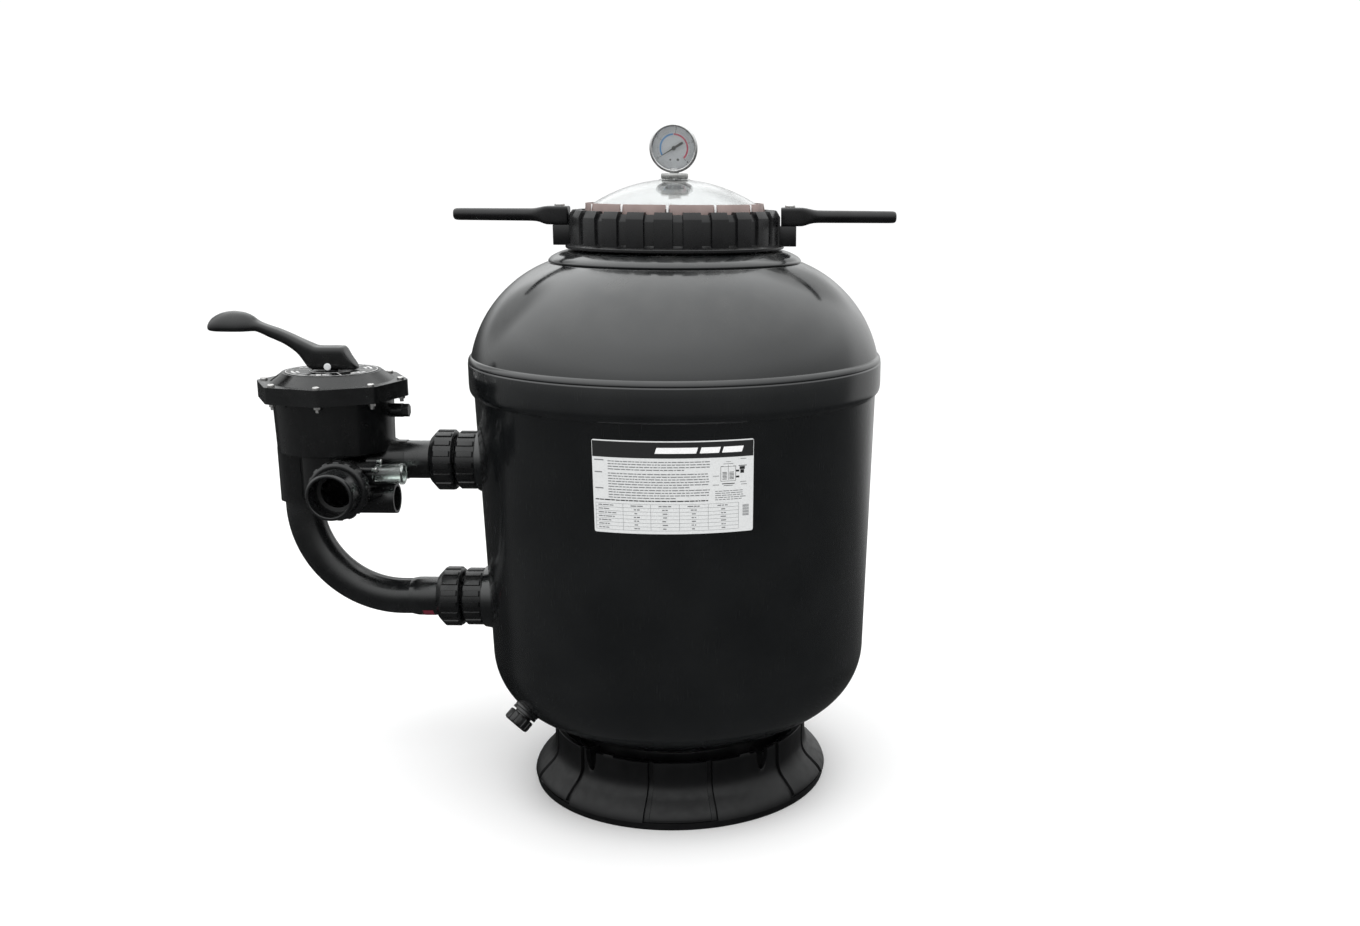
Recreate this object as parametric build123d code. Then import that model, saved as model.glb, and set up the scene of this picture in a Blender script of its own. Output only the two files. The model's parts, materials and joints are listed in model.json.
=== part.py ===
from build123d import *
from math import atan2, cos, degrees, radians, sin, sqrt
import os

# Side-mount sand filter tank, in millimetres.
# Origin: centre of the base on the ground. +Z up, -Y front (label side), -X towards the valve.

# ---- tank ---------------------------------------------------------------------------------
WALL = 6.0                         # moulded wall of the tank
BOWL_Z = 190.0                     # height where the bowl meets the conical wall
BOWL_R = 249.0                     # wall radius there
BOWL_H = 135.0                     # depth of the bowl
BOWL_CORNER = 88.0                 # radius of the arc between wall and bottom
SHELL_R = 258.7                    # wall radius just below the belt
BELT_R = 265.0                     # widest radius, over the welded belt
BELT_BOTTOM = 530.0
BELT_TOP = 577.0
SKIRT_Z = 548.0                    # lower end of the dome's skirt inside the belt
SKIRT_R = 258.0
DOME_R, DOME_Z, DOME_ARC = 104.5, 545.6, 159.5    # centre and radius of the dome's section
COLLAR_R, COLLAR_LOW = 160.5, 692.5    # outer edge of the sloped collar under the neck
COLLAR_IN, COLLAR_TOP = 132.0, 710.3   # inner edge of its slope
NECK_R = 120.0                     # over the crests of the neck thread
NECK_BORE = 100.0
NECK_TOP = 740.0
SEAL_R = 110.0                     # middle of the lid seal's groove
SEAL_THICK = 2.35
LABEL_FROM, LABEL_TO = -17.6, 24.2     # degrees from the front towards +X
LABEL_LOW, LABEL_HIGH = 402.0, 511.0
LABEL_THICK = 0.4

# ---- base stand ---------------------------------------------------------------------------
BASE_R = 200.0
BASE_NECK_R = 172.0
BASE_TOP = 79.0
BASE_WALL = 5.0
RIM_TOP = 9.0                      # top of the upright foot rim
FLARE_TOP = 56.0
PANEL_THICK = 2.0                  # how far the skirt's panels stand proud
PANEL_GAP = 2.2                    # groove between two panels, degrees
NARROW_HALF = 12.6                 # half angle of the six narrow panels, degrees
PANEL_PAIRS = 6
SEAT_OUT, SEAT_IN = 142.0, 128.0   # ring under the bowl that carries the tank
SEAT_LOW = 58.0
RIB_TOP = 72.0
RIB_COUNT = 12
NOTCH_ANGLE = 39.0                 # the four notches in the top edge, degrees from the front
NOTCH_LOW = 52.0
NOTCH_R = 9.0

# ---- closure ------------------------------------------------------------------------------
LID_FLANGE_R = 118.5
LID_FLANGE_TOP = 749.0
LID_WALL_R = 110.0
LID_SPHERE = 190.0                 # outer radius of the clear cap
LID_APEX = 797.0
LID_THICK = 5.0
LID_RIBS = 12
SLIP_TOP = 763.0                   # top of the slip ring's upstand
RING_R = 130.5                     # lock ring between its lugs
LUG_R = 133.5
LUG_IN_R = 121.0                   # inner end of the lugs' tops
LUG_LOW = 716.0
LUG_SLOPE = 8.0                    # height of the sloped facet on top of a lug
LIP_R = 138.5
RING_BORE = 120.4
RING_MOUTH = 112.8
RING_LOW = 712.0
RING_SHOULDER = 751.3
RING_TOP = 759.0
RING_LUGS = 24
LUG_PHASE = -5.0                   # first lug, degrees from the front towards +X
LUG_ANGLE = 10.6
SEAT_BLOCK_R = 154.0               # outer end of the blocks that carry the handle bars
SEAT_BLOCK_LOW = 715.0
SEAT_BLOCK_TOP = 740.0
BAR_ROOT_IN, BAR_ROOT_OUT = 134.5, 162.0
BAR_ROOT_TOP = 763.0
BAR_ROOT_WIDE = 27.0
BAR_TAPER = 17.0                   # length of the taper from root to grip
BAR_R = 7.8
BAR_TIP = 281.0
BAR_Z = 752.0
BOLT_AT = 146.0                    # distance of the bar bolts from the tank axis

# ---- pressure gauge -----------------------------------------------------------------------
GAUGE_Z = 834.5
GAUGE_R = 30.0
GAUGE_STEM_R = 5.8
GAUGE_BACK = 13.0
GAUGE_FRONT = -15.0
DIAL_Y = -5.0
POINTER_Y = -8.0
POINTER_REST = 31.0                # degrees below the horizontal at zero pressure
LENS_Y = -12.0

# ---- tank fittings and unions, along -X ---------------------------------------------------
UPPER_Z, LOWER_Z = 433.7, 244.4    # heights of the two ports
PIPE_R, PIPE_BORE = 24.15, 20.45   # 1.5 inch pipe
BARREL_R = 28.0                    # threaded barrel, over its crests
BOSS_R = 41.0
INNER_FACE, BOSS_FACE = 240.0, 262.0
NUT_END = 289.5
BARREL_END = 306.0
UNION_START, UNION_END = 291.0, 324.0
NUT_R, NUT_RIB = 38.6, 1.6
NUT_RIBS = 16
TAIL_R = 25.0
TAIL_FACE = 306.3
SOCKET_OUT = 26.0                  # outer radius of the pipe sockets
LIP_BORE = 26.4
STUB_END = 357.0                   # end of the valve's stub

# ---- multiport valve ----------------------------------------------------------------------
VALVE_X = -450.0
CHAMBER_R = 66.0
CHAMBER_FLOOR = 455.0
BODY_R, BODY_FOOT_R = 76.0, 73.5
BODY_LOW = 449.0
FLANGE_LOW, FLANGE_SPLIT, FLANGE_TOP = 518.0, 528.5, 539.5
COVER_TOP = 551.5
COVER_TOP_R = 63.0
BOLT_CIRCLE = 89.0
BOLT_PHASE = 5.0
BOLTS = 8
CORE_R = 50.0                      # port block under the chamber
CORE_LOW = 381.0
ELBOW_X = -499.0
ELBOW_BEND = 125.6
ELBOW_R, ELBOW_BORE = 24.0, 20.0
DROP_TUBE_LOW = 380.0
SIDE_X, SIDE_Z = -422.0, 411.0     # axis of the front and back ports
SIDE_NECK_R = 32.0
SIDE_NECK_END = 88.0
SIDE_NUT_START, SIDE_NUT_END = 79.0, 98.0
SIDE_END = 130.0
SOCKET_R = 25.1                    # socket for 50 mm pipe
SOCKET_DEPTH = 32.0
WASTE_Y, WASTE_Z = -40.0, 390.0    # axis of the waste port, which faces the tank
WASTE_END = 363.0
WASTE_OUT, WASTE_BORE = 19.5, 16.1     # socket for 32 mm pipe
WASTE_DEPTH = 22.0
SIGHT_Y, SIGHT_Z, SIGHT_R = -60.0, 427.0, 12.5
SIGHT_START, SIGHT_END = 384.0, 346.0
SIGHT_FLANGE = 15.0
EAR_AT, EAR_R = 16.5, 4.0          # screw ears of the sight glass
PLUG_Z = 499.5
ROTOR_R = 62.0
ROTOR_LOW, ROTOR_TOP = 458.3, 468.0
HUB_TOP = 480.0
STEM_R, STEM_TOP = 8.0, 566.0
PIN_Z, PIN_R = 558.0, 3.0
HANDLE_LOW = 553.0
PADDLE_AT, PADDLE_Z = 122.0, 52.5      # middle of the lever's domed paddle
PADDLE_LONG, PADDLE_HIGH = 34.0, 22.0  # half its length; half its width, and its height
PADDLE_FLOOR = 4.5
SPRING_LOW = 482.4
SPRING_R, WIRE_R = 14.5, 1.6
SPRING_TURNS = 4

# ---- drain --------------------------------------------------------------------------------
DRAIN_POINT = (-187.5, -121.5, 130.5)
DRAIN_AXIS = (-0.623, -0.403, -0.670)
DRAIN_R, DRAIN_BORE = 12.0, 8.0
DRAIN_CAP_R = 16.6

# ---- inside the tank ----------------------------------------------------------------------
BEND_R = 60.0
DIFFUSER_LOW, DIFFUSER_TOP = 605.0, 650.0
DIFFUSER_R = 46.0
HUB_R = 38.0
HUB_LOW, HUB_HIGH = 96.0, 140.0
LATERAL_Z = 116.0
LATERAL_R, LATERAL_BORE = 12.0, 9.0
LATERAL_END = 168.0
LATERALS = 8

FRONT = Rot(90, 0, 0)              # turns +Z to -Y
BACK = Rot(-90, 0, 0)              # turns +Z to +Y
OUTWARD = Rot(0, -90, 0)           # turns +Z to -X
UPPER = Pos(0, 0, UPPER_Z) * OUTWARD
LOWER = Pos(0, 0, LOWER_Z) * OUTWARD
VALVE = Pos(VALVE_X, 0, 0)
FRONT_PORT = Pos(SIDE_X, 0, SIDE_Z) * FRONT
BACK_PORT = Pos(SIDE_X, 0, SIDE_Z) * BACK
WASTE_PORT = Pos(0, WASTE_Y, WASTE_Z) * OUTWARD
SIGHT = Pos(0, SIGHT_Y, SIGHT_Z) * OUTWARD
DRAIN = Plane(origin=DRAIN_POINT, z_dir=DRAIN_AXIS).location
GAUGE = Pos(0, 0, GAUGE_Z) * BACK


# ---- helpers ------------------------------------------------------------------------------
def outline(*items):
    """Closed face in XY from corner tuples and edges, joined by straight lines."""
    edges = []
    first = None
    last = None
    for item in items:
        corner = isinstance(item, tuple)
        start = Vector(*item) if corner else item @ 0
        if last is not None and (start - last).length > 0.001:
            edges.append(Line(last, start))
        if not corner:
            edges.append(item)
        first = start if first is None else first
        last = start if corner else item @ 1
    if (first - last).length > 0.001:
        edges.append(Line(last, first))
    return make_face(edges)


def turned(*items):
    """Solid of revolution about Z of a section drawn as (radius, height)."""
    return revolve(Rot(90, 0, 0) * outline(*items), Axis.Z)


def tube(outer, inner, low, high):
    return turned((inner, low), (outer, low), (outer, high), (inner, high))


def rod(radius, low, high):
    return tube(radius, 0, low, high)


def o_ring(radius, thickness, height):
    return Pos(0, 0, height) * Torus(radius, thickness)


def block(x_low, x_high, y_size, low, high):
    return Pos((x_low + x_high) / 2, 0, (low + high) / 2) * Box(x_high - x_low, y_size, high - low)


def hexagon(across_flats, low, high):
    flats = RegularPolygon(across_flats / 2, 6, major_radius=False)
    return Pos(0, 0, low) * extrude(flats, high - low)


def around(count, piece, start=0.0):
    """Copies of a piece about Z. The piece lies along +X; angles run from the front to +X."""
    return [Rot(0, 0, start - 90 + 360 * k / count) * piece for k in range(count)]


def joined(pieces):
    total = pieces[0]
    for piece in pieces[1:]:
        total = total + piece
    return total


def bent_pipe(radius, points, bends):
    """Round bar along straight runs joined by tangent arcs."""
    path = FilletPolyline(*points, radius=bends)
    start = Plane(origin=path @ 0, z_dir=path % 0)
    return sweep(start * Circle(radius), path=path)


def circle_height(centre_z, radius, r):
    return centre_z + sqrt(radius ** 2 - (r - DOME_R) ** 2)


def wall_radius(z):
    return BOWL_R + (SHELL_R - BOWL_R) * (z - BOWL_Z) / (BELT_BOTTOM - BOWL_Z)


def bowl_curve(inset):
    """Bowl section from the bottom outwards: a wide arc and a tangent corner arc."""
    reach = BOWL_R - BOWL_CORNER
    wide = (BOWL_R ** 2 + BOWL_H ** 2 - 2 * BOWL_R * BOWL_CORNER) / (2 * (BOWL_H - BOWL_CORNER))
    wide_z = BOWL_Z - BOWL_H + wide
    lean = degrees(atan2(reach, wide_z - BOWL_Z))
    bottom = CenterArc((0, wide_z), wide - inset, 270, lean)
    corner = CenterArc((reach, BOWL_Z), BOWL_CORNER - inset, 270 + lean, 90 - lean)
    return [bottom, corner]


# ---- tank ---------------------------------------------------------------------------------
def tank_lower_body():
    shoulder = ThreePointArc((BELT_R, BELT_TOP - 8), (BELT_R - 1.1, BELT_TOP - 3), (BELT_R - 3.8, BELT_TOP))
    shell = turned(
        *bowl_curve(0), (SHELL_R, BELT_BOTTOM), (SHELL_R + 1, BELT_BOTTOM), (BELT_R, BELT_BOTTOM + 8),
        shoulder, (SKIRT_R, BELT_TOP), (SKIRT_R, SKIRT_Z), (SHELL_R - WALL, SKIRT_Z), (0, SKIRT_Z))
    inner = SHELL_R - WALL
    hollow = turned(*bowl_curve(WALL), (inner, BELT_BOTTOM), (inner, SKIRT_Z), (0, SKIRT_Z))
    shell = shell - hollow
    pads = [place * rod(BOSS_R, INNER_FACE, BOSS_FACE) for place in (UPPER, LOWER)]
    pads.append(DRAIN * rod(17, -8, 4))
    holes = [place * rod(BARREL_R, INNER_FACE - 20, BOSS_FACE + 20) for place in (UPPER, LOWER)]
    holes.append(DRAIN * rod(DRAIN_R, -20, 20))
    return shell + pads - holes


def tank_upper_dome():
    inner = DOME_ARC - WALL
    low_r = DOME_R + sqrt(DOME_ARC ** 2 - (BELT_TOP - DOME_Z) ** 2)
    mid_r = 225.0
    skirt_in = SKIRT_R - WALL
    outside = ThreePointArc((low_r, BELT_TOP), (mid_r, circle_height(DOME_Z, DOME_ARC, mid_r)),
                            (COLLAR_R, circle_height(DOME_Z, DOME_ARC, COLLAR_R)))
    inside = ThreePointArc((DOME_R, DOME_Z + inner), (mid_r - 9, circle_height(DOME_Z, inner, mid_r - 9)),
                           (skirt_in, circle_height(DOME_Z, inner, skirt_in)))
    rim = ThreePointArc((COLLAR_R, COLLAR_LOW), (COLLAR_R - 8, COLLAR_LOW + 10.2), (COLLAR_IN, COLLAR_TOP))
    shell = turned(
        (SKIRT_R, SKIRT_Z), (SKIRT_R, BELT_TOP), outside, rim, (NECK_R, COLLAR_TOP),
        (NECK_R, NECK_TOP - 1.5), (NECK_R - 1.5, NECK_TOP), (NECK_BORE, NECK_TOP),
        (NECK_BORE, DOME_Z + inner), inside, (skirt_in, SKIRT_Z))
    half = SEAL_THICK + 0.25
    return shell - tube(SEAL_R + half, SEAL_R - half, NECK_TOP - 5, NECK_TOP)


def neck_seal():
    return o_ring(SEAL_R, SEAL_THICK, NECK_TOP - 5 + SEAL_THICK)


def label():
    low_r, high_r = wall_radius(LABEL_LOW), wall_radius(LABEL_HIGH)
    strip = outline((low_r, LABEL_LOW), (low_r + LABEL_THICK, LABEL_LOW),
                    (high_r + LABEL_THICK, LABEL_HIGH), (high_r, LABEL_HIGH))
    sheet = revolve(Rot(90, 0, 0) * strip, Axis.Z, revolution_arc=LABEL_TO - LABEL_FROM)
    return Rot(0, 0, LABEL_FROM - 90) * sheet


# ---- base stand ---------------------------------------------------------------------------
def flare(inset):
    """S-shaped skirt section from the foot rim up to the neck, moved in by the inset."""
    points = [(BASE_R, RIM_TOP), (196, 18), (187, 27.5), (178.5, 36), (173.4, 45), (BASE_NECK_R, FLARE_TOP)]
    return Spline(*[(r - inset, z) for r, z in points], tangents=[(0, 1), (0, 1)])


def flare_side(inset, low):
    """Solid inside the flared skirt surface, from a given height up to the top edge."""
    return turned((0, low), (BASE_R - inset, low), flare(inset),
                  (BASE_NECK_R - inset, BASE_TOP), (0, BASE_TOP))


def skirt_panel(middle, half, low):
    """Raised panel of the skirt about a given angle from the front."""
    reach = BASE_R + 20
    side = reach / cos(radians(half))
    corners = [(0, 0)] + [(side * cos(radians(a)), side * sin(radians(a))) for a in (-half, half)]
    wedge = Pos(0, 0, low) * extrude(make_face(Polyline(*corners, close=True)), BASE_TOP - low)
    return Rot(0, 0, middle - 90) * wedge


def seat():
    """Ring and ribs inside the skirt, cut to the bowl that stands on them."""
    bowl = turned(*bowl_curve(0), (0, BOWL_Z))
    carrier = tube(SEAT_OUT, SEAT_IN, SEAT_LOW, BASE_TOP + 10) - bowl
    inner_wall = BASE_NECK_R - PANEL_THICK - BASE_WALL
    rib = block(SEAT_OUT - 2, inner_wall + 1, 4, SEAT_LOW - 20, RIB_TOP)
    return joined([carrier] + around(RIB_COUNT, rib, 15))


def base_stand():
    low_wall = PANEL_THICK + BASE_WALL
    step = 360 / PANEL_PAIRS
    wide_half = step / 2 - NARROW_HALF - PANEL_GAP / 2
    narrow_half = NARROW_HALF - PANEL_GAP / 2
    wedges = []
    for k in range(PANEL_PAIRS):
        wedges.append(skirt_panel(step * k, narrow_half, 11))
        wedges.append(skirt_panel(step * (k + 0.5), wide_half, 7))
    panels = flare_side(0, 5) & joined(wedges)
    skirt = flare_side(PANEL_THICK, 0) + panels - flare_side(low_wall, 0)
    skirt = skirt - rod(BASE_NECK_R - low_wall, 50, BASE_TOP)
    stand = skirt + seat()
    notch = Rot(0, 90, 0) * (rod(NOTCH_R, 162, 180) + block(-60, 0, 2 * NOTCH_R, 162, 180))
    notch = Pos(0, 0, NOTCH_LOW + NOTCH_R) * notch
    turns = (NOTCH_ANGLE, -NOTCH_ANGLE, 180 - NOTCH_ANGLE, NOTCH_ANGLE - 180)
    return stand - [Rot(0, 0, turn - 90) * notch for turn in turns]


# ---- closure ------------------------------------------------------------------------------
def lid_height(r, inset):
    return LID_APEX - LID_SPHERE + sqrt((LID_SPHERE - inset) ** 2 - r ** 2)


def lid():
    boss, hole, wall_in = 20, 8.2, LID_WALL_R - LID_THICK - 0.5
    outside = ThreePointArc(*[(r, lid_height(r, 0)) for r in (LID_WALL_R, 70, boss)])
    inside = ThreePointArc(*[(r, lid_height(r, LID_THICK)) for r in (boss, 70, wall_in)])
    cap = turned(
        (LID_FLANGE_R, NECK_TOP), (LID_FLANGE_R, LID_FLANGE_TOP), (LID_WALL_R, LID_FLANGE_TOP), outside,
        (boss - 2, LID_APEX), (hole, LID_APEX), (hole, LID_APEX - 13), (boss, LID_APEX - 13), inside,
        (wall_in, NECK_TOP))
    rib = block(LID_WALL_R - 2, LID_WALL_R + 2.2, 2.6, LID_FLANGE_TOP, SLIP_TOP - 1.5)
    return joined([cap] + around(LID_RIBS, rib))


def slip_ring():
    flange = tube(LID_FLANGE_R - 0.3, LID_WALL_R + 0.3, LID_FLANGE_TOP, LID_FLANGE_TOP + 2)
    upstand = tube(LID_WALL_R + 2.3, LID_WALL_R + 0.3, LID_FLANGE_TOP, SLIP_TOP)
    slot = block(LID_WALL_R - 2, LID_WALL_R + 2.6, 3.4, LID_FLANGE_TOP, SLIP_TOP)
    return flange + upstand - around(LID_RIBS, slot)


def ring_lug():
    section = outline(
        (RING_R - 2, LUG_LOW), (LUG_R, LUG_LOW), (LUG_R, RING_TOP - LUG_SLOPE), (LUG_R - 4.5, RING_TOP),
        (LUG_IN_R, RING_TOP), (LUG_IN_R, RING_TOP - 6), (RING_R - 2, RING_TOP - 6))
    lug = revolve(Rot(90, 0, 0) * section, Axis.Z, revolution_arc=LUG_ANGLE)
    return Rot(0, 0, -LUG_ANGLE / 2) * lug


def lock_ring():
    core = turned(
        (RING_BORE, RING_LOW), (LIP_R - 1, RING_LOW), (LIP_R, RING_LOW + 1), (LIP_R, RING_LOW + 3.5),
        (RING_R + 2, RING_LOW + 6), (RING_R, RING_LOW + 8), (RING_R, RING_TOP - 6),
        (RING_R - 3, RING_TOP - 3), (RING_MOUTH, RING_TOP - 3), (RING_MOUTH, RING_SHOULDER),
        (RING_BORE, RING_SHOULDER))
    seat_block = block(RING_R - 3, SEAT_BLOCK_R, 27, SEAT_BLOCK_LOW, SEAT_BLOCK_TOP)
    seat_block = fillet(seat_block.edges().filter_by(Axis.Z).group_by(Axis.X)[-1], 3)
    seats = around(2, seat_block, 90)
    holes = around(2, Pos(BOLT_AT, 0, 0) * rod(4, SEAT_BLOCK_TOP - 18, SEAT_BLOCK_TOP), 90)
    return joined([core] + seats + around(RING_LUGS, ring_lug(), LUG_PHASE)) - holes


def handle_bar():
    """Bar towards +X, bolted on its block by a thicker root."""
    root = block(BAR_ROOT_IN, BAR_ROOT_OUT, BAR_ROOT_WIDE, SEAT_BLOCK_TOP, BAR_ROOT_TOP)
    root = chamfer(root.edges().filter_by(Axis.X), 2)
    waist = root.faces().sort_by(Axis.X)[-1]
    end = Plane(origin=(BAR_ROOT_OUT + BAR_TAPER, 0, BAR_Z), z_dir=(1, 0, 0)) * RegularPolygon(BAR_R - 1, 8)
    taper = loft([waist, end.face()], ruled=True)
    grip = Rot(0, 90, 0) * rod(BAR_R, BAR_ROOT_OUT - 4, BAR_TIP)
    grip = fillet(grip.edges().group_by(Axis.X)[-1], 3)
    bar = root + taper + Pos(0, 0, BAR_Z) * grip
    return bar - Pos(BOLT_AT, 0, 0) * rod(4, SEAT_BLOCK_TOP, BAR_ROOT_TOP)


def handle_bar_bolts():
    head = Pos(0, 0, BAR_ROOT_TOP) * extrude(Circle(6.5), 3)
    head = fillet(head.edges().group_by(Axis.Z)[-1], 1.2) - hexagon(5, BAR_ROOT_TOP + 1, BAR_ROOT_TOP + 3)
    bolt = Pos(BOLT_AT, 0, 0) * (rod(4, SEAT_BLOCK_TOP - 18, BAR_ROOT_TOP) + head)
    return around(2, bolt, 90)


# ---- pressure gauge, drawn with its back towards local +Z ---------------------------------
def gauge_adaptor():
    nut = rod(17, LID_APEX, LID_APEX + 7)
    nut = chamfer(nut.edges().group_by(Axis.Z)[-1] + nut.edges().group_by(Axis.Z)[0], 1)
    knurl = around(24, Pos(17.3, 0, 0) * rod(1.1, LID_APEX - 1, LID_APEX + 10))
    stem = rod(8, LID_APEX - 24, LID_APEX)
    socket = rod(GAUGE_STEM_R, LID_APEX + 2, LID_APEX + 7)
    return nut - knurl + stem - socket - rod(3, LID_APEX - 24, LID_APEX + 2)


def gauge_lock_nut():
    return hexagon(30, LID_APEX - 20, LID_APEX - 13) - rod(8, LID_APEX - 20, LID_APEX - 13)


def gauge_case():
    shell = rod(28.5, -10, GAUGE_BACK)
    shell = fillet(shell.edges().group_by(Axis.Z)[-1], 3)
    stem = rod(GAUGE_STEM_R, LID_APEX + 2, GAUGE_Z - 26)
    return GAUGE * shell + stem - GAUGE * rod(27, -10, GAUGE_BACK - 2)


def gauge_bezel():
    return GAUGE * turned(
        (26.2, GAUGE_FRONT + 0.8), (26.8, GAUGE_FRONT), (29, GAUGE_FRONT), (GAUGE_R, GAUGE_FRONT + 1.2),
        (GAUGE_R, -6), (28.5, -6), (28.5, -10), (27.9, -10), (27.9, -13.2), (26.2, -13.2))


def gauge_lens():
    return GAUGE * rod(27.8, LENS_Y - 1, LENS_Y + 0.6)


def gauge_dial():
    return GAUGE * tube(26.8, 1.3, DIAL_Y, DIAL_Y + 0.8)


def gauge_pointer():
    """Zero is at the lower left, 31 degrees below the horizontal."""
    arm = outline((-13, -1.5), (-4, -1.4), (-2, -0.9), (17.5, -0.35), (17.5, 0.35), (-2, 0.9), (-4, 1.4),
                  (-13, 1.5))
    blade = Rot(0, 0, 180 - POINTER_REST) * extrude(arm, 0.8) + extrude(Circle(2.6), 1.2)
    arbor = rod(0.8, 0.5, 10)
    return GAUGE * Pos(0, 0, POINTER_Y) * (blade + arbor)


def gauge_movement():
    back_plate = Pos(0, 0, -1) * extrude(RectangleRounded(22, 14, 3), 1.2)
    posts = [Pos(x, 0, 0) * rod(1.6, 0, 4.5) for x in (-4.2, 4.2)]
    return GAUGE * (joined([back_plate, rod(6, 4, 5.2)] + posts) - rod(0.87, -2, 6))


def bourdon_tube():
    """C-shaped pressure tube, standing on a block above the stem."""
    bend, thick, depth = 19, 2.4, 8
    start, end = Vector(0, bend, depth), Vector(-bend * sin(radians(70)), bend * cos(radians(70)), depth)
    path = ThreePointArc(start, (bend * sin(radians(145)), bend * cos(radians(145)), depth), end)
    section = Plane(origin=start, z_dir=path % 0) * Circle(thick)
    foot = Pos(0, 22.6, depth) * Box(9, 7, 5)
    return GAUGE * (sweep(section, path=path) + foot)


# ---- tank fittings and unions -------------------------------------------------------------
def ribbed_nut(radius, ribs, low, high, chamfer_low, chamfer_high):
    """Outside of a union nut: chamfered drum with lengthwise ribs."""
    drum = turned((0, low), (radius - chamfer_low, low), (radius, low + chamfer_low),
                  (radius, high - chamfer_high), (radius - chamfer_high * 1.1, high), (0, high))
    rib = block(radius - 2, radius + NUT_RIB, 6.4, low + chamfer_low + 1, high - chamfer_high)
    rib = fillet(rib.edges().group_by(Axis.X)[-1], 1)
    return joined([drum] + around(ribs, rib))


def bulkhead():
    fitting = turned(
        (PIPE_R, INNER_FACE - 34), (29, INNER_FACE - 34), (29, INNER_FACE - 10),
        (37, INNER_FACE - 10), (37, INNER_FACE - 4), (BARREL_R, INNER_FACE - 4),
        (BARREL_R, BARREL_END - 1), (BARREL_R - 1, BARREL_END),
        (PIPE_BORE, BARREL_END), (PIPE_BORE, INNER_FACE - 14), (PIPE_R, INNER_FACE - 14))
    return fitting - tube(26.3, 22.7, BARREL_END - 3, BARREL_END)


def bulkhead_gaskets():
    return [place * tube(36, BARREL_R, INNER_FACE - 4, INNER_FACE) for place in (UPPER, LOWER)]


def tank_nuts():
    nut = ribbed_nut(NUT_R - 1.5, NUT_RIBS, BOSS_FACE, NUT_END, 1, 3) - rod(BARREL_R, BOSS_FACE, NUT_END)
    return [UPPER * nut, LOWER * nut]


def union_o_rings():
    return [place * o_ring(24.5, 1.6, BARREL_END - 1.4) for place in (UPPER, LOWER)]


def union_nut():
    lip = UNION_START + 21.3
    nut = ribbed_nut(NUT_R, NUT_RIBS, UNION_START, UNION_END, 2, 8)
    return nut - rod(BARREL_R + 0.4, UNION_START, lip) - rod(LIP_BORE, lip, UNION_END)


def union_tail(radius, bore, end):
    return turned((bore, TAIL_FACE), (BARREL_R, TAIL_FACE), (BARREL_R, TAIL_FACE + 5.7),
                  (radius, TAIL_FACE + 5.7), (radius, end), (bore, end))


def elbow_pipe():
    points = [(ELBOW_X, 0, DROP_TUBE_LOW + 25), (ELBOW_X, 0, LOWER_Z), (-345, 0, LOWER_Z)]
    outside = bent_pipe(ELBOW_R, points, ELBOW_BEND)
    socket = turned((ELBOW_R, 322), (SOCKET_OUT, 322), (SOCKET_OUT, 356), (ELBOW_R, 362))
    return outside + LOWER * socket - bent_pipe(ELBOW_BORE, points, ELBOW_BEND)


# ---- multiport valve ----------------------------------------------------------------------
def bolt_places():
    return around(BOLTS, Pos(BOLT_CIRCLE - 2, 0, 0), BOLT_PHASE)


def flange_plate(low, high):
    """Octagonal plate with rounded corners where the bolts sit."""
    corner = RegularPolygon(96.7, 8)
    plate = extrude(fillet(corner.vertices(), 9), high - low)
    return Pos(0, 0, low) * Rot(0, 0, BOLT_PHASE) * plate


def valve_outside():
    drum = turned((0, BODY_LOW), (BODY_FOOT_R, BODY_LOW), (BODY_FOOT_R + 0.8, BODY_LOW + 2),
                  (BODY_R, FLANGE_LOW), (0, FLANGE_LOW))
    core = rod(CORE_R, CORE_LOW, BODY_LOW + 2)
    core = fillet(core.edges().group_by(Axis.Z)[0], 8)
    drop_tube = Pos(ELBOW_X - VALVE_X, 0, 0) * (rod(29, DROP_TUBE_LOW, BODY_LOW + 2))
    body = VALVE * (drum + flange_plate(FLANGE_LOW, FLANGE_SPLIT) + core + drop_tube)
    for port in (FRONT_PORT, BACK_PORT):
        body = body + port * (rod(34, 0, 76) + rod(SIDE_NECK_R, 76, SIDE_NECK_END))
    body = body + UPPER * rod(SOCKET_OUT, STUB_END, 420)
    body = body + WASTE_PORT * rod(WASTE_OUT, WASTE_END, 412)
    body = body + SIGHT * rod(SIGHT_FLANGE, SIGHT_START - 1, 415)
    body = body + SIGHT * sight_ears(SIGHT_START - 1, SIGHT_START + 12)
    return body + Pos(0, 0, PLUG_Z) * OUTWARD * rod(9, 362, 380)


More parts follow.
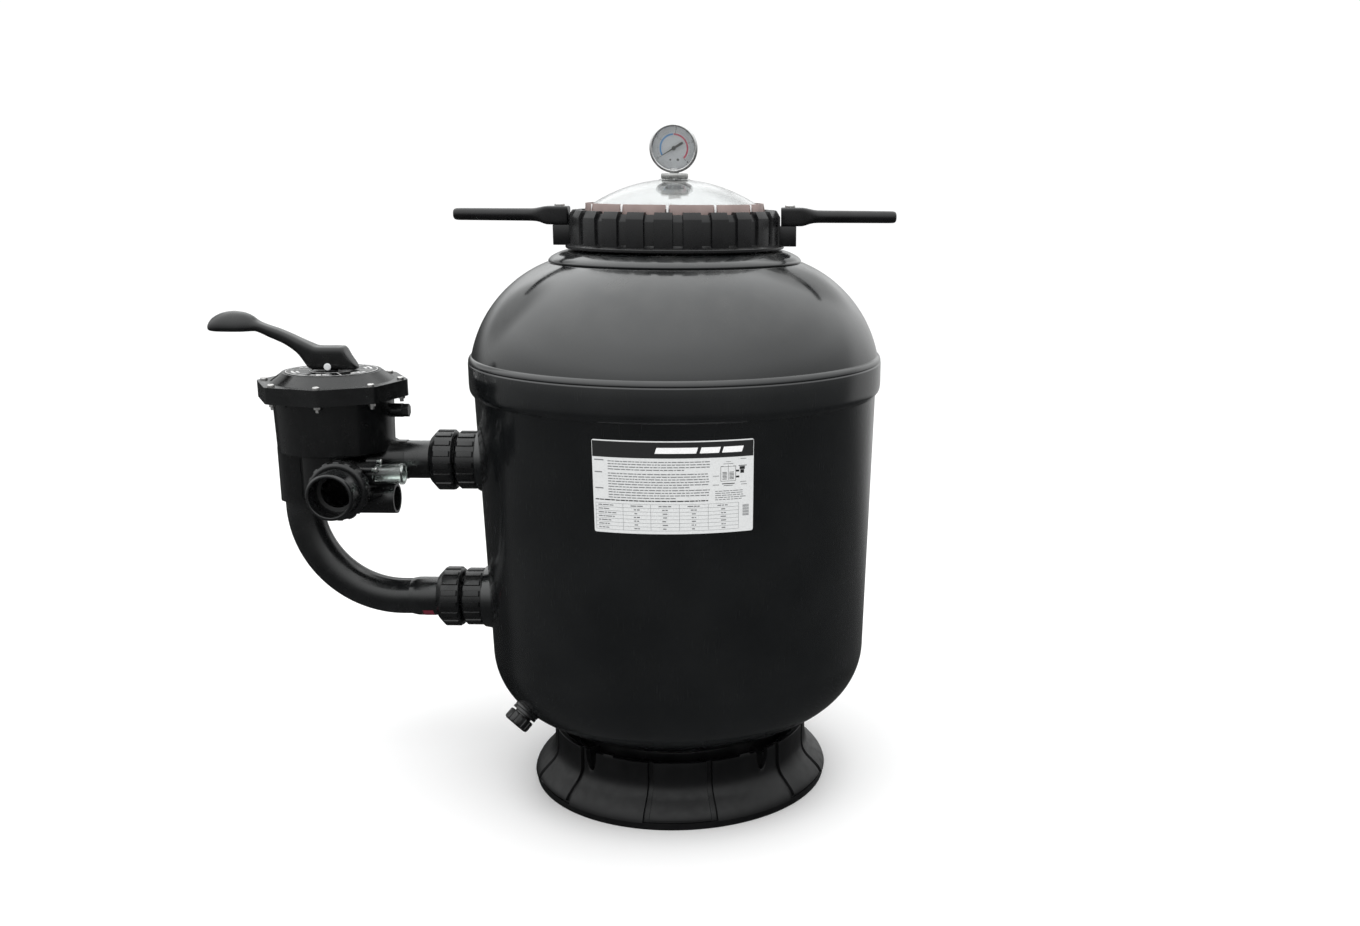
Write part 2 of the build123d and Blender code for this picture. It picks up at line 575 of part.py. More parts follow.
def valve_body():
    body = valve_outside()
    seal_groove = tube(72.8, 69.6, FLANGE_SPLIT - 2.9, FLANGE_SPLIT)
    bolts = [place * rod(2.5, FLANGE_LOW, FLANGE_SPLIT) for place in bolt_places()]
    body = body - VALVE * joined([rod(CHAMBER_R, CHAMBER_FLOOR, FLANGE_SPLIT), seal_groove] + bolts)
    drop = Pos(ELBOW_X, 0, 0)
    body = body - drop * rod(ELBOW_R, DROP_TUBE_LOW, DROP_TUBE_LOW + 25)
    body = body - drop * rod(16, DROP_TUBE_LOW + 25, CHAMBER_FLOOR)
    for side, port in ((-1, FRONT_PORT), (1, BACK_PORT)):
        seal_seat = tube(28.4, 24.6, SIDE_NECK_END - 3, SIDE_NECK_END)
        body = body - port * rod(20, 14, SIDE_NECK_END) - port * seal_seat
        body = body - Pos(SIDE_X, side * 32, 0) * rod(11, SIDE_Z, CHAMBER_FLOOR)
    body = body - UPPER * rod(TAIL_R, STUB_END, 380) - UPPER * rod(19, 380, 396)
    body = body - Pos(-391, 0, 0) * rod(6, UPPER_Z, CHAMBER_FLOOR)
    body = body - WASTE_PORT * rod(WASTE_BORE, WASTE_END, WASTE_END + WASTE_DEPTH)
    body = body - WASTE_PORT * rod(13, WASTE_END + WASTE_DEPTH, 396)
    body = body - SIGHT * rod(SIGHT_R - 3, SIGHT_START - 1, 398)
    body = body - SIGHT * sight_screw_places(rod(1.6, SIGHT_START - 1, SIGHT_START + 8))
    return body - Pos(0, 0, PLUG_Z) * OUTWARD * rod(6.5, 362, 374)


def valve_cover():
    slope = turned((0, FLANGE_TOP - 1), (78.7, FLANGE_TOP - 1), (78, FLANGE_TOP), (64, COVER_TOP - 1.5),
                   (COVER_TOP_R - 0.5, COVER_TOP), (0, COVER_TOP))
    hollow = turned((11, FLANGE_SPLIT), (CHAMBER_R, FLANGE_SPLIT), (CHAMBER_R, FLANGE_SPLIT + 6),
                    (54, COVER_TOP - 5.5), (11, COVER_TOP - 5.5))
    stem_room = rod(11, FLANGE_SPLIT, FLANGE_SPLIT + 4) + rod(STEM_R + 0.05, FLANGE_SPLIT, COVER_TOP)
    bolts = [place * rod(2.5, FLANGE_SPLIT, FLANGE_TOP) for place in bolt_places()]
    pocket = Rot(0, 0, -70 - 90) * block(66, 90, 12, FLANGE_TOP + 0.5, COVER_TOP)
    cover = flange_plate(FLANGE_SPLIT, FLANGE_TOP) + slope - hollow
    return VALVE * (cover - joined([stem_room, pocket] + bolts))


def cover_o_ring():
    return VALVE * o_ring(71.2, 1.45, FLANGE_SPLIT - 1.45)


def cover_screws():
    head = Pos(0, 0, FLANGE_TOP) * extrude(Circle(4.6), 3.2)
    head = fillet(head.edges().group_by(Axis.Z)[-1], 1.4)
    slot = block(-2.6, 2.6, 0.9, FLANGE_TOP + 1.8, FLANGE_TOP + 3.2)
    screw = rod(2.5, FLANGE_LOW - 8, FLANGE_TOP) + head - slot - Rot(0, 0, 90) * slot
    return [VALVE * place * screw for place in bolt_places()]


def cover_nuts():
    nut = hexagon(8, FLANGE_LOW - 4, FLANGE_LOW) - rod(2.5, FLANGE_LOW - 4, FLANGE_LOW)
    return [VALVE * place * nut for place in bolt_places()]


def position_plate():
    return VALVE * tube(59, 26, COVER_TOP, COVER_TOP + 0.6)


def spider_gasket():
    rim = tube(ROTOR_R, ROTOR_R - 5, CHAMBER_FLOOR, ROTOR_LOW - 0.3)
    hub = tube(14, 6, CHAMBER_FLOOR, ROTOR_LOW - 0.3)
    spoke = block(12, ROTOR_R - 3, 4, CHAMBER_FLOOR, ROTOR_LOW - 0.3)
    return VALVE * joined([rim, hub] + around(6, spoke, 30))


def valve_rotor():
    disc = rod(ROTOR_R, ROTOR_LOW, ROTOR_TOP)
    window = Pos(38, 0, 0) * rod(13, ROTOR_LOW, ROTOR_TOP)
    scoop = Pos(-38, 0, 0) * rod(17, ROTOR_LOW, ROTOR_TOP - 3)
    stem = rod(14, ROTOR_TOP, HUB_TOP) + rod(STEM_R, HUB_TOP, STEM_TOP)
    grooves = [tube(STEM_R, 5.35, z - 1.5, z + 1.5) for z in (538, 545)]
    web = block(-56, 56, 4, ROTOR_TOP, ROTOR_TOP + 8) - rod(14, ROTOR_TOP, ROTOR_TOP + 8)
    rotor = disc - window - scoop + stem + Rot(0, 0, 90) * web - grooves
    cross = Pos(0, 0, PIN_Z) * FRONT * rod(PIN_R, -STEM_R, STEM_R)
    return VALVE * (rotor - cross)


def stem_o_rings():
    return [VALVE * o_ring(6.66, 1.3, z) for z in (538, 545)]


def spring_washer():
    return VALVE * tube(18, STEM_R + 0.3, SPRING_LOW - 2.1, SPRING_LOW - 0.1)


def valve_spring():
    height = COVER_TOP - 5.8 - SPRING_LOW - 2 * WIRE_R
    path = Pos(0, 0, SPRING_LOW + WIRE_R) * Helix(height / SPRING_TURNS, height, SPRING_R)
    section = Plane(origin=path @ 0, z_dir=path % 0) * Circle(WIRE_R)
    return VALVE * sweep(section, path=path, is_frenet=True)


def handle_paddle():
    """Domed end of the lever, flat below."""
    lower = Pos(0, -PADDLE_HIGH) * Rectangle(2 * PADDLE_LONG, 2 * PADDLE_HIGH)
    dome = revolve(Ellipse(PADDLE_LONG, PADDLE_HIGH) - lower, Axis.X)
    below = block(-PADDLE_LONG, PADDLE_LONG, 2 * PADDLE_HIGH, -PADDLE_HIGH - 1, -PADDLE_FLOOR)
    return Pos(-PADDLE_AT, 0, PADDLE_Z) * (dome - below)


def valve_handle():
    """Lever drawn as its side view, then cut to its plan; x and z are from the valve's axis."""
    arm_top = Spline((-14, 30), (-34, 39), (-58, 50.5), (-92, 61))
    arm_low = Spline((-92, 49), (-76, 41), (-58, 33), (-42, 21.5), (-30, 6))
    side = outline((-20, 0), (30, 0), (35, 4), (18, 30), arm_top, arm_low, (-26, 2))
    lever = Pos(0, 30, 0) * Rot(90, 0, 0) * extrude(side, 60)
    hub_plan = Pos(4, 0, 0) * Ellipse(31, 15)
    arm_plan = make_face(Polyline((0, 14), (0, -14), (-95, -11), (-95, 11), close=True))
    plan = extrude(hub_plan, 80) + extrude(arm_plan, 80)
    lever = Pos(0, 0, HANDLE_LOW) * ((lever & Pos(0, 0, -1) * plan) + handle_paddle())
    stem_slot = block(-STEM_R - 2.6, STEM_R + 2.6, 2 * STEM_R + 0.8, HANDLE_LOW, STEM_TOP + 4)
    pin_hole = Pos(0, 0, PIN_Z) * FRONT * rod(PIN_R + 0.06, -20, 20)
    return VALVE * (lever - stem_slot - pin_hole)


def handle_pin():
    head = 17.6
    shape = turned((0, -head), (4.2, -head), (4.6, -head + 0.5), (4.6, -15.3), (PIN_R, -15.3),
                   (PIN_R, 15.3), (4.6, 15.3), (4.6, head - 0.5), (4.2, head), (0, head))
    return VALVE * Pos(0, 0, PIN_Z) * FRONT * shape


def side_port_nut():
    lip = SIDE_NECK_END + 4.3
    nut = ribbed_nut(36.6, 16, SIDE_NUT_START, SIDE_NUT_END, 1.5, 2.5)
    return nut - rod(SIDE_NECK_R + 0.4, SIDE_NUT_START, lip) - rod(30.4, lip, SIDE_NUT_END)


def side_port_tail():
    face, flange = SIDE_NECK_END + 0.3, SIDE_NECK_END + 4
    return turned(
        (20, face), (SIDE_NECK_R - 0.1, face), (SIDE_NECK_R - 0.1, flange), (30, flange), (30, SIDE_END - 3),
        (28.6, SIDE_END - 0.8), (27.4, SIDE_END), (SOCKET_R, SIDE_END), (SOCKET_R, SIDE_END - SOCKET_DEPTH),
        (20, SIDE_END - SOCKET_DEPTH))


def port_o_rings():
    seal = o_ring(26.5, 1.6, SIDE_NECK_END - 1.4)
    return [FRONT_PORT * seal, BACK_PORT * seal]


def sight_ear_places():
    """Ear centres about the sight glass: one to the front, one above and behind."""
    return [Rot(0, 0, turn) * Pos(EAR_AT, 0, 0) for turn in (-60, 30)]


def sight_ears(low, high):
    return joined([place * rod(EAR_R, low, high) for place in sight_ear_places()])


def sight_screw_places(piece):
    return joined([place * piece for place in sight_ear_places()])


def sight_glass():
    bore, low = SIGHT_R - 3, SIGHT_START - 5
    cup = tube(SIGHT_R, bore, SIGHT_END + 3, SIGHT_START - 1) + rod(SIGHT_R, SIGHT_END, SIGHT_END + 3)
    bead = tube(SIGHT_R + 1.2, SIGHT_R - 1, SIGHT_END + 1, SIGHT_END + 5)
    flange = tube(SIGHT_FLANGE, bore, low, SIGHT_START - 1) + sight_ears(low, SIGHT_START - 1)
    return SIGHT * (cup + bead + flange - sight_screw_places(rod(1.6, SIGHT_START - 5, SIGHT_START - 1)))


def sight_glass_screws():
    top, seat_z, end = SIGHT_START - 7.4, SIGHT_START - 5, SIGHT_START + 7
    head = turned((0, top), (2.0, top), (3.0, top + 1), (3.0, seat_z), (1.6, seat_z), (1.6, end), (0, end))
    return [SIGHT * place * head for place in sight_ear_places()]


def valve_plug():
    plug = hexagon(15, 352, 360) + rod(9, 360, 362) + rod(6.5, 362, 374)
    return Pos(0, 0, PLUG_Z) * OUTWARD * plug


# ---- drain --------------------------------------------------------------------------------
def drain_fitting():
    return DRAIN * turned((DRAIN_BORE, -8), (DRAIN_R, -8), (DRAIN_R, 4), (17.2, 4), (17.2, 8),
                          (DRAIN_R, 8), (DRAIN_R, 20), (DRAIN_BORE, 20))


def drain_washer():
    return DRAIN * tube(11.6, 5, 20.3, 21.7)


def drain_cap():
    drum = turned((0, 10.4), (DRAIN_CAP_R, 10.4), (DRAIN_CAP_R, 23.5), (DRAIN_CAP_R - 1.5, 25), (0, 25))
    rib = block(DRAIN_CAP_R - 1, DRAIN_CAP_R + 1, 2.6, 11, 23)
    return DRAIN * (joined([drum] + around(14, rib)) - rod(DRAIN_R + 0.4, 10.4, 22))


# ---- inside the tank ----------------------------------------------------------------------
def inner_pipe(port_z, end_z):
    points = [(-INNER_FACE + 14, 0, port_z), (0, 0, port_z), (0, 0, end_z)]
    return bent_pipe(PIPE_R, points, BEND_R) - bent_pipe(PIPE_BORE, points, BEND_R)


def top_diffuser():
    collar = tube(30, PIPE_R, DIFFUSER_LOW - 10, DIFFUSER_LOW + 10)
    low = collar + tube(DIFFUSER_R, PIPE_R, DIFFUSER_LOW, DIFFUSER_LOW + 5)
    bar = block(DIFFUSER_R - 6, DIFFUSER_R, 5, DIFFUSER_LOW + 4, DIFFUSER_TOP - 5)
    top = turned((0, DIFFUSER_TOP - 6), (DIFFUSER_R, DIFFUSER_TOP - 6),
                 (DIFFUSER_R - 2, DIFFUSER_TOP), (0, DIFFUSER_TOP))
    return joined([low, top] + around(12, bar))


def lateral_hub():
    hub = turned((0, HUB_LOW), (HUB_R, HUB_LOW), (HUB_R, HUB_HIGH), (30, HUB_HIGH + 10), (0, HUB_HIGH + 10))
    leg = rod(10, BOWL_Z - BOWL_H + WALL + 0.5, HUB_LOW)
    room = rod(HUB_R - 6, HUB_LOW + 5, HUB_HIGH - 8) + rod(PIPE_BORE, HUB_HIGH - 8, HUB_HIGH + 10)
    room = room + rod(PIPE_R, HUB_HIGH, HUB_HIGH + 10)
    hole = Pos(0, 0, LATERAL_Z) * Rot(0, 90, 0) * rod(8, HUB_R - 8, HUB_R)
    return hub + leg - joined([room] + around(LATERALS, hole, 22.5))


def laterals():
    shape = turned((6, HUB_R - 8), (8, HUB_R - 8), (8, HUB_R), (LATERAL_R, HUB_R),
                   (LATERAL_R, LATERAL_END - 3), (LATERAL_R - 3, LATERAL_END),
                   (0, LATERAL_END), (0, LATERAL_END - 4),
                   (LATERAL_BORE, LATERAL_END - 4), (LATERAL_BORE, HUB_R + 4), (6, HUB_R + 4))
    slots = [block(-LATERAL_R - 2, -3, 30, z, z + 1.4) for z in range(50, 160, 9)]
    lateral = Pos(0, 0, LATERAL_Z) * Rot(0, 90, 0) * (shape - slots)
    return around(LATERALS, lateral, 22.5)


# ---- one file for each piece --------------------------------------------------------------
def pieces():
    right_bar = handle_bar()
    fitting, nut = bulkhead(), union_nut()
    return {
        "base_stand": base_stand(),
        "tank_lower_body": tank_lower_body(),
        "tank_upper_dome": tank_upper_dome(),
        "label": label(),
        "neck_seal": neck_seal(),
        "lid": lid(),
        "slip_ring": slip_ring(),
        "lock_ring": lock_ring(),
        "handle_bar_right": right_bar,
        "handle_bar_left": Rot(0, 0, 180) * right_bar,
        "handle_bar_bolts": handle_bar_bolts(),
        "gauge_adaptor": gauge_adaptor(),
        "gauge_lock_nut": gauge_lock_nut(),
        "gauge_case": gauge_case(),
        "gauge_bezel": gauge_bezel(),
        "gauge_lens": gauge_lens(),
        "gauge_dial": gauge_dial(),
        "gauge_pointer": gauge_pointer(),
        "gauge_movement": gauge_movement(),
        "bourdon_tube": bourdon_tube(),
        "upper_bulkhead": UPPER * fitting,
        "lower_bulkhead": LOWER * fitting,
        "bulkhead_gaskets": bulkhead_gaskets(),
        "tank_nuts": tank_nuts(),
        "union_o_rings": union_o_rings(),
        "upper_union_nut": UPPER * nut,
        "lower_union_nut": LOWER * nut,
        "upper_union_tail": UPPER * union_tail(TAIL_R, 20, 380),
        "lower_union_tail": LOWER * union_tail(ELBOW_R, 20, 345),
        "elbow_pipe": elbow_pipe(),
        "valve_body": valve_body(),
        "valve_cover": valve_cover(),
        "cover_o_ring": cover_o_ring(),
        "cover_screws": cover_screws(),
        "cover_nuts": cover_nuts(),
        "position_plate": position_plate(),
        "spider_gasket": spider_gasket(),
        "valve_rotor": valve_rotor(),
        "stem_o_rings": stem_o_rings(),
        "spring_washer": spring_washer(),
        "valve_spring": valve_spring(),
        "valve_handle": valve_handle(),
        "handle_pin": handle_pin(),
        "pump_port_nut": FRONT_PORT * side_port_nut(),
        "pump_port_tail": FRONT_PORT * side_port_tail(),
        "return_port_nut": BACK_PORT * side_port_nut(),
        "return_port_tail": BACK_PORT * side_port_tail(),
        "port_o_rings": port_o_rings(),
        "sight_glass": sight_glass(),
        "sight_glass_screws": sight_glass_screws(),
        "valve_plug": valve_plug(),
        "drain_fitting": drain_fitting(),
        "drain_washer": drain_washer(),
        "drain_cap": drain_cap(),
        "upper_inner_pipe": inner_pipe(UPPER_Z, DIFFUSER_LOW + 10),
        "top_diffuser": top_diffuser(),
        "lower_inner_pipe": inner_pipe(LOWER_Z, HUB_HIGH),
        "lateral_hub": lateral_hub(),
        "laterals": laterals(),
    }


os.makedirs("parts", exist_ok=True)
for name, piece in pieces().items():
    solids = piece if isinstance(piece, list) else [piece]
    group = Compound(children=[solid for item in solids for solid in item.solids()])
    export_step(group, f"parts/{name}.step")
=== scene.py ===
"""Looks of a side-mount sand filter tank with a multiport valve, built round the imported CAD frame."""
import json
import math
import random

import bmesh
import bpy
from mathutils import Matrix, Vector


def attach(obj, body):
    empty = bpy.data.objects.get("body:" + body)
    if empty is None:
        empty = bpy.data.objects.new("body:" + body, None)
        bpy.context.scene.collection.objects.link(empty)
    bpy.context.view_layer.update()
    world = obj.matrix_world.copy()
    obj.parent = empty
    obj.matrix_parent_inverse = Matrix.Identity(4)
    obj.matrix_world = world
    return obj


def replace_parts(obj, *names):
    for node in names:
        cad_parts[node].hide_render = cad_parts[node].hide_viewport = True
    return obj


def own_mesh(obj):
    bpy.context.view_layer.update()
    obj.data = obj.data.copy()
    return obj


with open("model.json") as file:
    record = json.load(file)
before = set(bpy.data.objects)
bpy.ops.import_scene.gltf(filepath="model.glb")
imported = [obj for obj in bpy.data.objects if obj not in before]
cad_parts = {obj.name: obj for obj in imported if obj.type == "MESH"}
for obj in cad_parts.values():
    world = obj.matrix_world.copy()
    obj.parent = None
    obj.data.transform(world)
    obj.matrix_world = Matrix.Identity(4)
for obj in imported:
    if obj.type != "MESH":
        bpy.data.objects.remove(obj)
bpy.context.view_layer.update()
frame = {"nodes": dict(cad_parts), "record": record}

NODES = frame["nodes"]
SLOT_OF = {row["node"]: row["material_slot"] for row in frame["record"]["subparts"]}
BODY_OF = {node: body for body, nodes in frame["record"]["behaviour"]["bodies"].items() for node in nodes}
MM = 0.001


# ---- materials ----------------------------------------------------------------------------
MIX_FROM, MIX_TO, MIX_RESULT = 6, 7, 2      # colour sockets of a Mix node


class Nodes:
    """Short ways to add and join the nodes of one tree."""

    def __init__(self, tree):
        self.tree = tree
        self.link = tree.links.new

    def node(self, kind, **values):
        made = self.tree.nodes.new(kind)
        for key, value in values.items():
            setattr(made, key, value)
        return made

    def math(self, operation, a, b):
        made = self.node("ShaderNodeMath", operation=operation)
        for socket, value in zip(made.inputs, (a, b)):
            if isinstance(value, (int, float)):
                socket.default_value = value
            else:
                self.link(value, socket)
        return made.outputs[0]

    def span(self, value, low, high, to_low=0.0, to_high=1.0, **values):
        """Maps one range of a value to another one and holds it at both ends."""
        ranged = self.node("ShaderNodeMapRange", **values)
        for key, number in zip(("From Min", "From Max", "To Min", "To Max"), (low, high, to_low, to_high)):
            ranged.inputs[key].default_value = number
        self.link(value, ranged.inputs["Value"])
        return ranged.outputs["Result"]


class Look(Nodes):
    """Node material with helpers that add detail in object space, in metres."""

    def __init__(self, name, base, rough, metal=0.0, spec=0.5, ior=1.5, coat=0.0, coat_rough=0.1, trans=0.0):
        self.mat = bpy.data.materials.new(name)
        self.mat.use_nodes = True
        self.mat.diffuse_color = (*base, 1)
        super().__init__(self.mat.node_tree)
        self.bsdf = self.tree.nodes["Principled BSDF"]
        values = {"Base Color": (*base, 1), "Roughness": rough, "Metallic": metal, "Specular IOR Level": spec,
                  "IOR": ior, "Coat Weight": coat, "Coat Roughness": coat_rough, "Transmission Weight": trans}
        for key, value in values.items():
            self.bsdf.inputs[key].default_value = value
        self.base = base
        self.roughness = rough
        self.colour = None
        self.height = None
        self.coords = self.node("ShaderNodeTexCoord").outputs["Object"]

    def place(self, stretch):
        if stretch == (1, 1, 1):
            return self.coords
        mapping = self.node("ShaderNodeMapping")
        mapping.inputs["Scale"].default_value = stretch
        self.link(self.coords, mapping.inputs["Vector"])
        return mapping.outputs["Vector"]

    def noise(self, size, detail=3.0, stretch=(1, 1, 1), low=0.35, high=0.65):
        """Noise of a given grain size in metres, stretched to 0..1 between two levels."""
        noise = self.node("ShaderNodeTexNoise")
        noise.inputs["Scale"].default_value = 1 / size
        noise.inputs["Detail"].default_value = detail
        self.link(self.place(stretch), noise.inputs["Vector"])
        return self.span(noise.outputs["Fac"], low, high)

    def tint(self, factor, colour, most=1.0):
        """Mixes the base colour towards another one by a 0..1 factor."""
        mix = self.node("ShaderNodeMix", data_type="RGBA")
        self.link(self.math("MULTIPLY", factor, most), mix.inputs["Factor"])
        if self.colour is None:
            mix.inputs[MIX_FROM].default_value = (*self.base, 1)
        else:
            self.link(self.colour, mix.inputs[MIX_FROM])
        mix.inputs[MIX_TO].default_value = (*colour, 1)
        self.colour = mix.outputs[MIX_RESULT]
        self.link(self.colour, self.bsdf.inputs["Base Color"])
        return self

    def gloss(self, factor, amount):
        """Adds a share of a 0..1 factor to the roughness."""
        self.roughness = self.math("ADD", self.math("MULTIPLY", factor, amount), self.roughness)
        self.link(self.roughness, self.bsdf.inputs["Roughness"])
        return self

    def relief(self, factor, depth):
        """Adds relief of a given depth in metres."""
        bump = self.node("ShaderNodeBump")
        bump.inputs["Distance"].default_value = depth
        bump.inputs["Strength"].default_value = 1.0
        self.link(factor, bump.inputs["Height"])
        if self.height is not None:
            self.link(self.height, bump.inputs["Normal"])
        self.height = bump.outputs["Normal"]
        self.link(self.height, self.bsdf.inputs["Normal"])
        return self

    def facing_up(self, low=0.3, high=0.95):
        """1 on surfaces that face up, where dust settles."""
        split = self.node("ShaderNodeSeparateXYZ")
        self.link(self.node("ShaderNodeNewGeometry").outputs["Normal"], split.inputs[0])
        return self.span(split.outputs["Z"], low, high)

    def edges(self, low=0.52, high=0.6):
        """1 on convex edges, where the surface is lightened: rubbed wear and a painted highlight along the
        edge.
        """
        return self.span(self.node("ShaderNodeNewGeometry").outputs["Pointiness"], low, high)


def dusty(look, amount=0.5, colour=(0.16, 0.155, 0.145)):
    """A thin film of dust on surfaces that face up, thicker in patches."""
    patches = look.math("MULTIPLY", look.facing_up(), look.noise(0.03, 5, low=0.4, high=0.75))
    look.tint(patches, colour, amount * 0.22)
    return look.gloss(patches, amount * 0.25)


def moulded(name, base, rough, grain=0.0009, grain_depth=0.00002, spec=0.5, edge_wear_and_highlight=0.35, dust=0.5, lighter=2.2):
    """Injection-moulded plastic: fine grain, faint flow marks, edges lightened as rubbed wear and painted
    highlight, and some dust.
    """
    look = Look(name, base, rough, spec=spec)
    flow = look.noise(0.035, 4, stretch=(1, 1, 0.35))
    look.tint(flow, tuple(c * 1.5 + 0.002 for c in base), 0.6)
    # painted highlight: convex edges are mixed towards a paler colour, which also stands for rubbed wear
    look.tint(look.edges(), tuple(min(1.0, c * lighter + 0.01) for c in base), edge_wear_and_highlight)
    look.gloss(look.noise(0.012, 4), 0.12)
    look.relief(look.noise(grain, 2, low=0.2, high=0.8), grain_depth)
    look.relief(flow, 0.00006)
    return dusty(look, dust)


def shell_look():
    """Glossy black blow-moulded shell: long soft waves, orange peel, a few fine scratches."""
    look = Look("shell_gloss_black", (0.0046, 0.0052, 0.0056), 0.11, spec=0.5, coat=0.35, coat_rough=0.06)
    look.relief(look.noise(0.16, 1, stretch=(1, 1, 0.6), low=0.2, high=0.8), 0.0011)
    look.relief(look.noise(0.045, 2, low=0.2, high=0.8), 0.00012)
    look.relief(look.noise(0.0035, 2, low=0.25, high=0.75), 0.000012)
    scratches = look.noise(0.006, 2, stretch=(6, 6, 0.25), low=0.66, high=0.72)
    look.gloss(scratches, 0.12)
    look.gloss(look.noise(0.06, 5), 0.10)
    look.tint(look.noise(0.09, 4), (0.0075, 0.0082, 0.0086), 0.7)
    return dusty(look, 0.45)


def clear_look(name, tint, rough, haze=0.08):
    look = Look(name, tint, rough, ior=1.49, trans=1.0)
    look.gloss(look.noise(0.05, 4, low=0.45, high=0.8), haze)
    look.gloss(look.noise(0.004, 2, stretch=(5, 1, 1), low=0.66, high=0.74), 0.12)
    return look.relief(look.noise(0.03, 2), 0.00005)


def steel_look(name, base, rough, stretch, grain=0.0012):
    look = Look(name, base, rough, metal=1.0)
    brush = look.noise(grain, 3, stretch=stretch, low=0.3, high=0.7)
    look.gloss(brush, 0.16)
    look.relief(brush, 0.000008)
    look.tint(look.noise(0.01, 4), tuple(c * 0.7 for c in base), 0.5)
    return look


def printed(name, base, rough=0.4):
    """Ink or paint: slightly uneven cover and a rough edge in its gloss."""
    look = Look(name, base, rough)
    look.tint(look.noise(0.0015, 3, low=0.45, high=0.7), tuple(c * 0.82 for c in base), 0.6)
    look.gloss(look.noise(0.002, 3), 0.15)
    return look.relief(look.noise(0.0008, 2), 0.000004)


def rubber_look():
    look = Look("black_rubber", (0.018, 0.018, 0.018), 0.62)
    look.tint(look.noise(0.004, 4), (0.04, 0.04, 0.038), 0.6)
    look.gloss(look.noise(0.003, 3), 0.2)
    return look.relief(look.noise(0.0007, 3), 0.00003)


def brass_look():
    look = Look("machined_brass", (0.70, 0.50, 0.22), 0.28, metal=1.0)
    look.tint(look.noise(0.005, 4, low=0.4, high=0.7), (0.35, 0.22, 0.09), 0.7)
    look.gloss(look.noise(0.0015, 3, stretch=(1, 1, 6)), 0.18)
    return look.relief(look.noise(0.001, 2), 0.00001)


LOOKS = {
    "shell": shell_look(),
    "base_plastic": moulded("base_satin_black", (0.0026, 0.0027, 0.003), 0.3, grain=0.0012,
                            grain_depth=0.00001, spec=0.22, edge_wear_and_highlight=0.1, dust=0.1),
    "label_film": printed("label_white", (0.60, 0.61, 0.61), 0.32),
    "seal_rubber": rubber_look(),
    "clear_plastic": clear_look("lid_clear", (0.93, 0.95, 0.95), 0.035),
    "slip_ring_plastic": moulded("slip_ring_red_brown", (0.29, 0.222, 0.208), 0.42, edge_wear_and_highlight=0.2, lighter=1.3,
                                 dust=0.3),
    "ring_plastic": moulded("ring_matte_charcoal", (0.0036, 0.0036, 0.004), 0.22, grain=0.0008,
                            grain_depth=0.00001, spec=0.35, edge_wear_and_highlight=0.15, dust=0.3),
    "screw_steel": steel_look("screw_steel", (0.62, 0.61, 0.60), 0.24, (1, 1, 4)),
    "plated_brass": steel_look("nickel_plate", (0.50, 0.50, 0.49), 0.2, (1, 1, 8)),
    "gauge_steel": steel_look("gauge_stainless", (0.60, 0.60, 0.60), 0.16, (1, 6, 1)),
    "lens": clear_look("gauge_lens_clear", (0.97, 0.98, 0.98), 0.01, haze=0.03),
    "dial": printed("dial_light_grey", (0.62, 0.64, 0.66), 0.45),
    "pointer_black": printed("pointer_black", (0.01, 0.01, 0.01), 0.4),
    "brass": brass_look(),
    "nut_plastic": moulded("nut_satin_black", (0.0038, 0.004, 0.0043), 0.22, grain_depth=0.00001,
                           spec=0.4, edge_wear_and_highlight=0.2, dust=0.2),
    "valve_plastic": moulded("valve_semi_gloss_black", (0.0032, 0.0034, 0.0036), 0.16, grain_depth=0.000006,
                             spec=0.4, edge_wear_and_highlight=0.1, dust=0.2),
    "rotor_plastic": moulded("rotor_grey", (0.045, 0.045, 0.05), 0.4, edge_wear_and_highlight=0.2, dust=0.1),
    "pipe_plastic": moulded("pipe_gloss_black", (0.0045, 0.0048, 0.0051), 0.17, grain_depth=0.000007,
                            edge_wear_and_highlight=0.3, dust=0.2),
    "sight_plastic": clear_look("sight_glass_clear", (0.80, 0.87, 0.84), 0.08, haze=0.25),
    "inner_plastic": moulded("inner_light_grey", (0.42, 0.43, 0.43), 0.45, edge_wear_and_highlight=0.1, lighter=1.2, dust=0.3),
}
WHITE_INK = printed("ink_white", (0.78, 0.78, 0.78), 0.45)
BLACK_INK = printed("ink_black", (0.012, 0.0125, 0.013), 0.3)
GREY_INK = printed("ink_grey", (0.16, 0.165, 0.17), 0.45)
BLUE_INK = printed("ink_blue", (0.05, 0.27, 0.60), 0.4)
RED_INK = printed("ink_red", (0.52, 0.02, 0.08), 0.4)
FROSTED = printed("frosted_white", (0.82, 0.82, 0.82), 0.5)
PAINT_RED = printed("paint_dark_red", (0.13, 0.006, 0.02), 0.35)
ZINC = printed("zinc_white", (0.72, 0.73, 0.74), 0.35)


# ---- pieces -------------------------------------------------------------------------------
def dress(obj, look):
    obj.data.materials.clear()
    obj.data.materials.append(look.mat)


def add(name, mesh, node, look=None):
    """Links a mesh as a piece on the body and in the slot of a CAD node."""
    obj = bpy.data.objects.new(name, mesh)
    bpy.context.scene.collection.objects.link(obj)
    dress(obj, look or LOOKS[SLOT_OF[node]])
    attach(obj, BODY_OF[node])
    return obj


def detail(name, node, build, look=None, smooth=35.0):
    """Piece from a function that fills a bmesh, shown together with a CAD node or its stand-in."""
    bm = bmesh.new()
    build(bm)
    return add(name, finish_mesh(bm, name, smooth), node, look)


def stand_in(name, node, build, smooth=35.0):
    """Piece from a function that fills a bmesh, shown instead of a CAD node."""
    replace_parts(detail(name, node, build, smooth=smooth), node)


